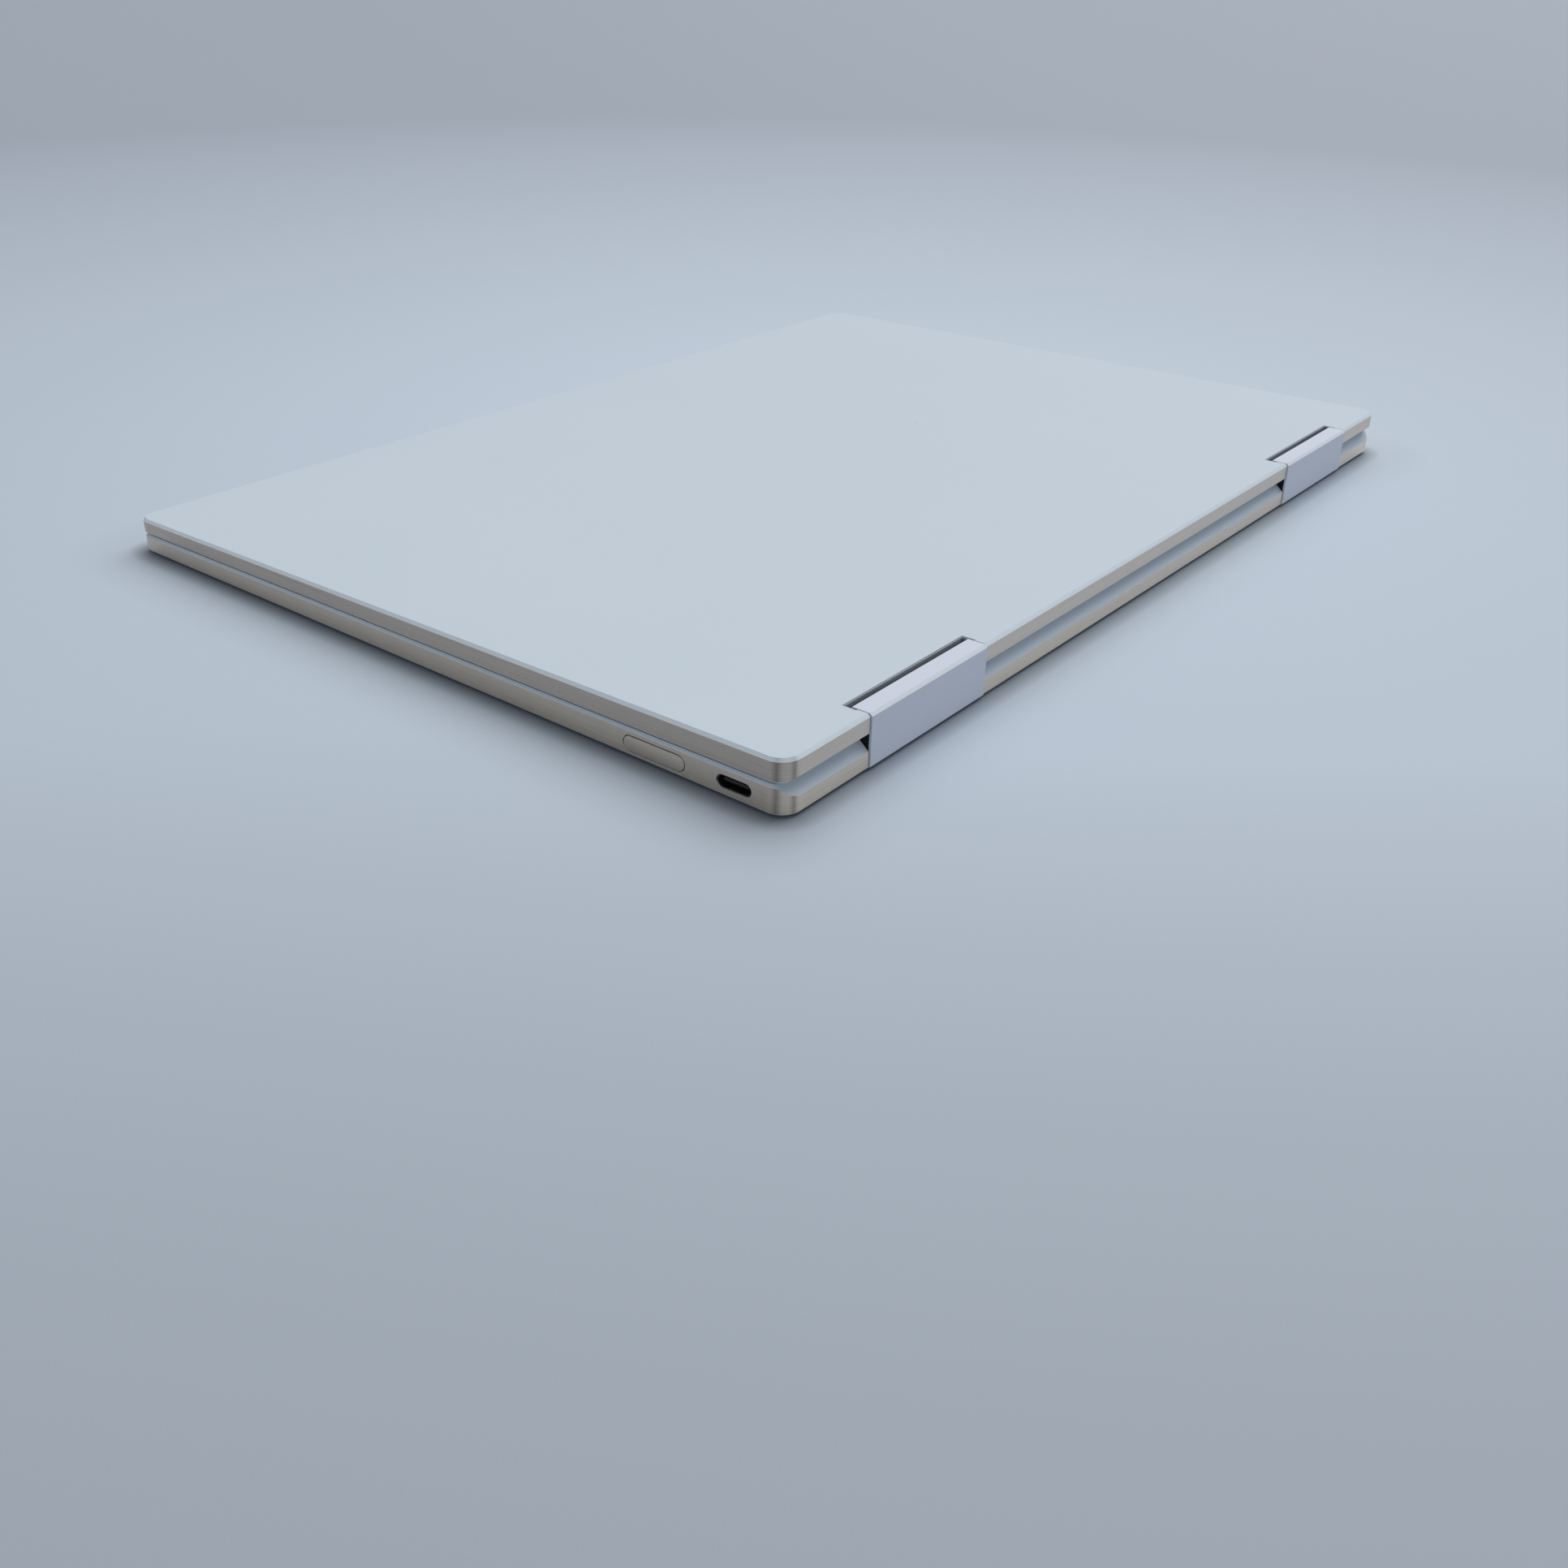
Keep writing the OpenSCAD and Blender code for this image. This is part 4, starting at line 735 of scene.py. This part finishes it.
def make_keycaps():
    """The key rows, the space bar and the enter key, laid out in key units."""
    rows = [
        ("keys_function_row", [14.5 / 14] * 14), ("keys_number_row", [1] * 13 + [1.5]),
        ("keys_upper_row", [1.5] + [1] * 12 + [1]), ("keys_home_row", [1.75] + [1] * 11 + [1.75]),
        ("keys_lower_row", [2.25] + [1] * 10 + [2.25]),
        ("keys_bottom_row", [1] * 4 + [5.5] + [1] * 5),
    ]
    single = {("keys_home_row", 12): "enter_key", ("keys_bottom_row", 4): "space_bar"}
    caps = {}
    y1 = keyboard_rear
    for (row, units), row_depth in zip(rows, key_row_depths):
        x0 = -14.5 * key_pitch[0] / 2
        for k, unit in enumerate(units):
            x1 = x0 + unit * key_pitch[0]
            half = key_space / 2
            owner = single.get((row, k), row)
            caps.setdefault(owner, []).append(
                keycap_part(x0 + half, x1 - half, y1 - row_depth + half, y1 - half))
            x0 = x1
        y1 -= row_depth
    for owner, parts in caps.items():
        piece_from(owner + ".caps", parts, "keycap", owner, owner)


def make_touchpad():
    """One glass plate with a fine rounded edge."""
    def outline(inset, z):
        return [(x, y, z) for x, y in rounded_outline(
            -pad_width / 2 + inset, pad_width / 2 - inset, pad_front + inset,
            pad_front + pad_depth - inset, pad_corner - inset, 8)]

    rings = edge_rings(outline, pad_top - pad_thickness, pad_top, pad_edge)
    piece_from("touchpad.glass", [stack_rings(rings)], "touch_glass", "touchpad",
               "touchpad")


def make_power_button():
    """A pill with a fine turned edge, long along the side of the base."""
    y, z = button_middle
    outer = half_width - button_sunk

    def outline(inset, x):
        r = button_height / 2 - inset
        reach = (button_length - button_height) / 2
        ring = []
        for end, start in ((1, -90), (-1, 90)):
            for i in range(17):
                turn = math.radians(start + 180 * i / 16)
                ring.append((x, y + end * reach + r * math.cos(turn), z + r * math.sin(turn)))
        return ring

    rings = edge_rings(outline, outer - button_thickness, outer, button_edge)
    piece_from("power_button.cap", [stack_rings(rings)], "champagne", "power_button",
               "power_button")


def make_feet():
    """Two long rubber strips with softly rounded lower edges, flat on the table."""
    strips = []
    for half, y0 in (front_foot, rear_foot):
        def outline(inset, z):
            return [(x, y, z) for x, y in rounded_outline(
                -half + inset, half - inset, y0 + inset, y0 + foot_depth - inset,
                foot_round - inset, 8)]

        upward = edge_rings(outline, 0, foot_height, 0.3 * mm)
        turned = [[(x, y, foot_height - z) for x, y, z in reversed(ring)] for ring in upward]
        strips.append(stack_rings(turned[::-1]))
    piece_from("rubber_feet.strips", strips, "foot", "base", "rubber_feet",
               place=Matrix.Identity(4))


make_keycaps()
make_touchpad()
make_power_button()
make_feet()

# ---- floor and light ----

floor_near = ((0.615, 0.69, 0.78), (0.63, 0.70, 0.795))
# Painted shade: the floor's colour darkens with distance from the laptop, and more beyond its rear
# right corner, as a painted falloff of light
floor_painted_falloff = (0.40, 0.435, 0.505)
floor_painted_dim = (0.40, 0.44, 0.50)
# Painted shadow colour for the floor right beside the laptop
floor_painted_shadow = (0.05, 0.06, 0.08)


def painted_contact_shadow(tree, place):
    """Painted contact shadow on the floor: how close the floor is to the laptop's sides; it is
    darkest right beside them.
    """
    spot = add(tree, "ShaderNodeSeparateXYZ")
    feed(tree, spot, 0, place.outputs["Object"])
    squares = []
    for axis, half in ((0, half_width), (1, rear_edge)):
        over = sum_of(tree, "ABSOLUTE", spot.outputs[axis])
        over = sum_of(tree, "SUBTRACT", over, half - corner_radius)
        over = sum_of(tree, "MAXIMUM", over, 0.0)
        squares.append(sum_of(tree, "MULTIPLY", over, over))
    reach = sum_of(tree, "SQRT", sum_of(tree, "ADD", *squares))
    reach = sum_of(tree, "SUBTRACT", reach, corner_radius)
    close = spread(tree, reach, 0.0, 5 * mm, 0.48, 0.0)
    return sum_of(tree, "ADD", close, spread(tree, reach, 0.0, 20 * mm, 0.10, 0.0))


def floor_finish():
    """Pale floor with painted shade: it darkens with distance from the laptop as a painted falloff
    of light, most of all beyond its rear right corner, and carries a painted contact shadow right
    beside the laptop.
    """
    finish, tree, shader = new_finish("pale floor", floor_near[0], 0.6, 0.0,
                                      Specular_IOR_Level=0.2)
    place = add(tree, "ShaderNodeTexCoord")
    shift = add(tree, "ShaderNodeVectorMath", operation="SUBTRACT")
    feed(tree, shift, 0, place.outputs["Object"])
    feed(tree, shift, 1, (-0.05, -0.02, 0.0))
    reach = add(tree, "ShaderNodeVectorMath", operation="LENGTH")
    feed(tree, reach, 0, shift.outputs[0])
    # Painted falloff of light with distance from the laptop
    painted_falloff = spread(tree, reach.outputs["Value"], 0.12, 0.75, 0.0, 1.0)
    cloud = use(tree, grain, scale=3.0, detail=2.0, low=0.3, high=0.7)
    pale = blend_colours(tree, painted_falloff, blend_colours(tree, cloud, *floor_near), floor_painted_falloff)
    towards = add(tree, "ShaderNodeVectorMath", operation="DOT_PRODUCT")
    feed(tree, towards, 0, place.outputs["Object"])
    feed(tree, towards, 1, (0.795, 0.607, 0.0))
    # Painted shade beyond the laptop's rear right corner
    painted_dim = spread(tree, towards.outputs["Value"], 0.15, 0.35, 0.0, 1.0)
    pale = blend_colours(tree, painted_dim, pale, floor_painted_dim)
    # The painted contact shadow is for camera rays only, so that the metal sides mirror the plain
    # floor
    path = add(tree, "ShaderNodeLightPath")
    painted_shadow = sum_of(tree, "MULTIPLY", painted_contact_shadow(tree, place), path.outputs["Is Camera Ray"])
    feed(tree, shader, "Base Color", blend_colours(tree, painted_shadow, pale, floor_painted_shadow))
    fine = use(tree, grain, scale=1800.0, detail=2.0)
    roughen(tree, shader, fine, 0.2, 0.00003)
    return finish


def make_floor():
    turns = [math.radians(5 * i) for i in range(72)]
    rings = [[(r * math.cos(turn), r * math.sin(turn), 0.0) for turn in turns]
             for r in (30.0, 3.0, 0.6)]
    points, faces = stack_rings(rings, close_start=False)
    mesh = bpy.data.meshes.new("floor")
    mesh.from_pydata(points, [], faces)
    mesh.materials.append(floor_finish())
    floor = bpy.data.objects.new("floor", mesh)
    scene.collection.objects.link(floor)


# Upright zones that polished sides mirror: middle bearing, half width, brightness change
room_zones = [
    (-9, 16, -0.9), (32, 20, 0.35), (76, 13, -0.9),
    (104, 14, 0.5), (145, 50, 0.7), (-40, 24, -0.3),
]
room_fill = (0.94, 0.975, 1.0)
room_seen = (0.385, 0.423, 0.497)
room_mirrored = (0.40, 0.43, 0.47)
sun_travel = (0.56, 0.12, -0.82)


def make_room_glow(tree):
    """What mirrors see: an even room with brighter and darker upright zones round it."""
    place = add(tree, "ShaderNodeTexCoord")
    spot = add(tree, "ShaderNodeSeparateXYZ")
    feed(tree, spot, 0, place.outputs["Generated"])
    bearing = sum_of(tree, "ARCTAN2", spot.outputs[1], spot.outputs[0])
    level = 1.0
    for middle, half, change in room_zones:
        off = sum_of(tree, "ABSOLUTE", sum_of(tree, "SUBTRACT", bearing, math.radians(middle)))
        share = spread(tree, off, 0.0, math.radians(half), 1.0, 0.0)
        level = sum_of(tree, "MULTIPLY_ADD", share, change, level)
    return level


def glow(tree, colour, strength):
    node = add(tree, "ShaderNodeBackground")
    feed(tree, node, "Color", (*colour, 1))
    feed(tree, node, "Strength", strength)
    return node.outputs[0]


def choose(tree, mask, otherwise, chosen):
    node = add(tree, "ShaderNodeMixShader")
    for index, value in enumerate((mask, otherwise, chosen)):
        feed(tree, node, index, value)
    return node.outputs[0]


def make_light():
    """An even room, seen and mirrored in its own tones, and one broad soft lamp."""
    world = bpy.data.worlds.new("room")
    scene.world = world
    world.use_nodes = True
    tree = world.node_tree
    tree.nodes.clear()
    path = add(tree, "ShaderNodeLightPath")
    rays = sum_of(tree, "MAXIMUM", path.outputs["Is Camera Ray"],
                  path.outputs["Is Transmission Ray"])
    plain = choose(tree, rays, glow(tree, room_fill, 0.30), glow(tree, room_seen, 1.0))
    mirrored = glow(tree, room_mirrored, make_room_glow(tree))
    room = choose(tree, path.outputs["Is Glossy Ray"], plain, mirrored)
    out = add(tree, "ShaderNodeOutputWorld")
    feed(tree, out, 0, room)

    softbox = bpy.data.lights.new("softbox", "SUN")
    softbox.energy = 2.0
    softbox.angle = math.radians(64)
    softbox.color = (0.95, 0.98, 1.0)
    lamp = bpy.data.objects.new("softbox", softbox)
    lamp.rotation_mode = "QUATERNION"
    lamp.rotation_quaternion = Vector(sun_travel).to_track_quat("-Z", "Y")
    scene.collection.objects.link(lamp)


make_floor()
make_light()
scene.view_settings.view_transform = "Standard"
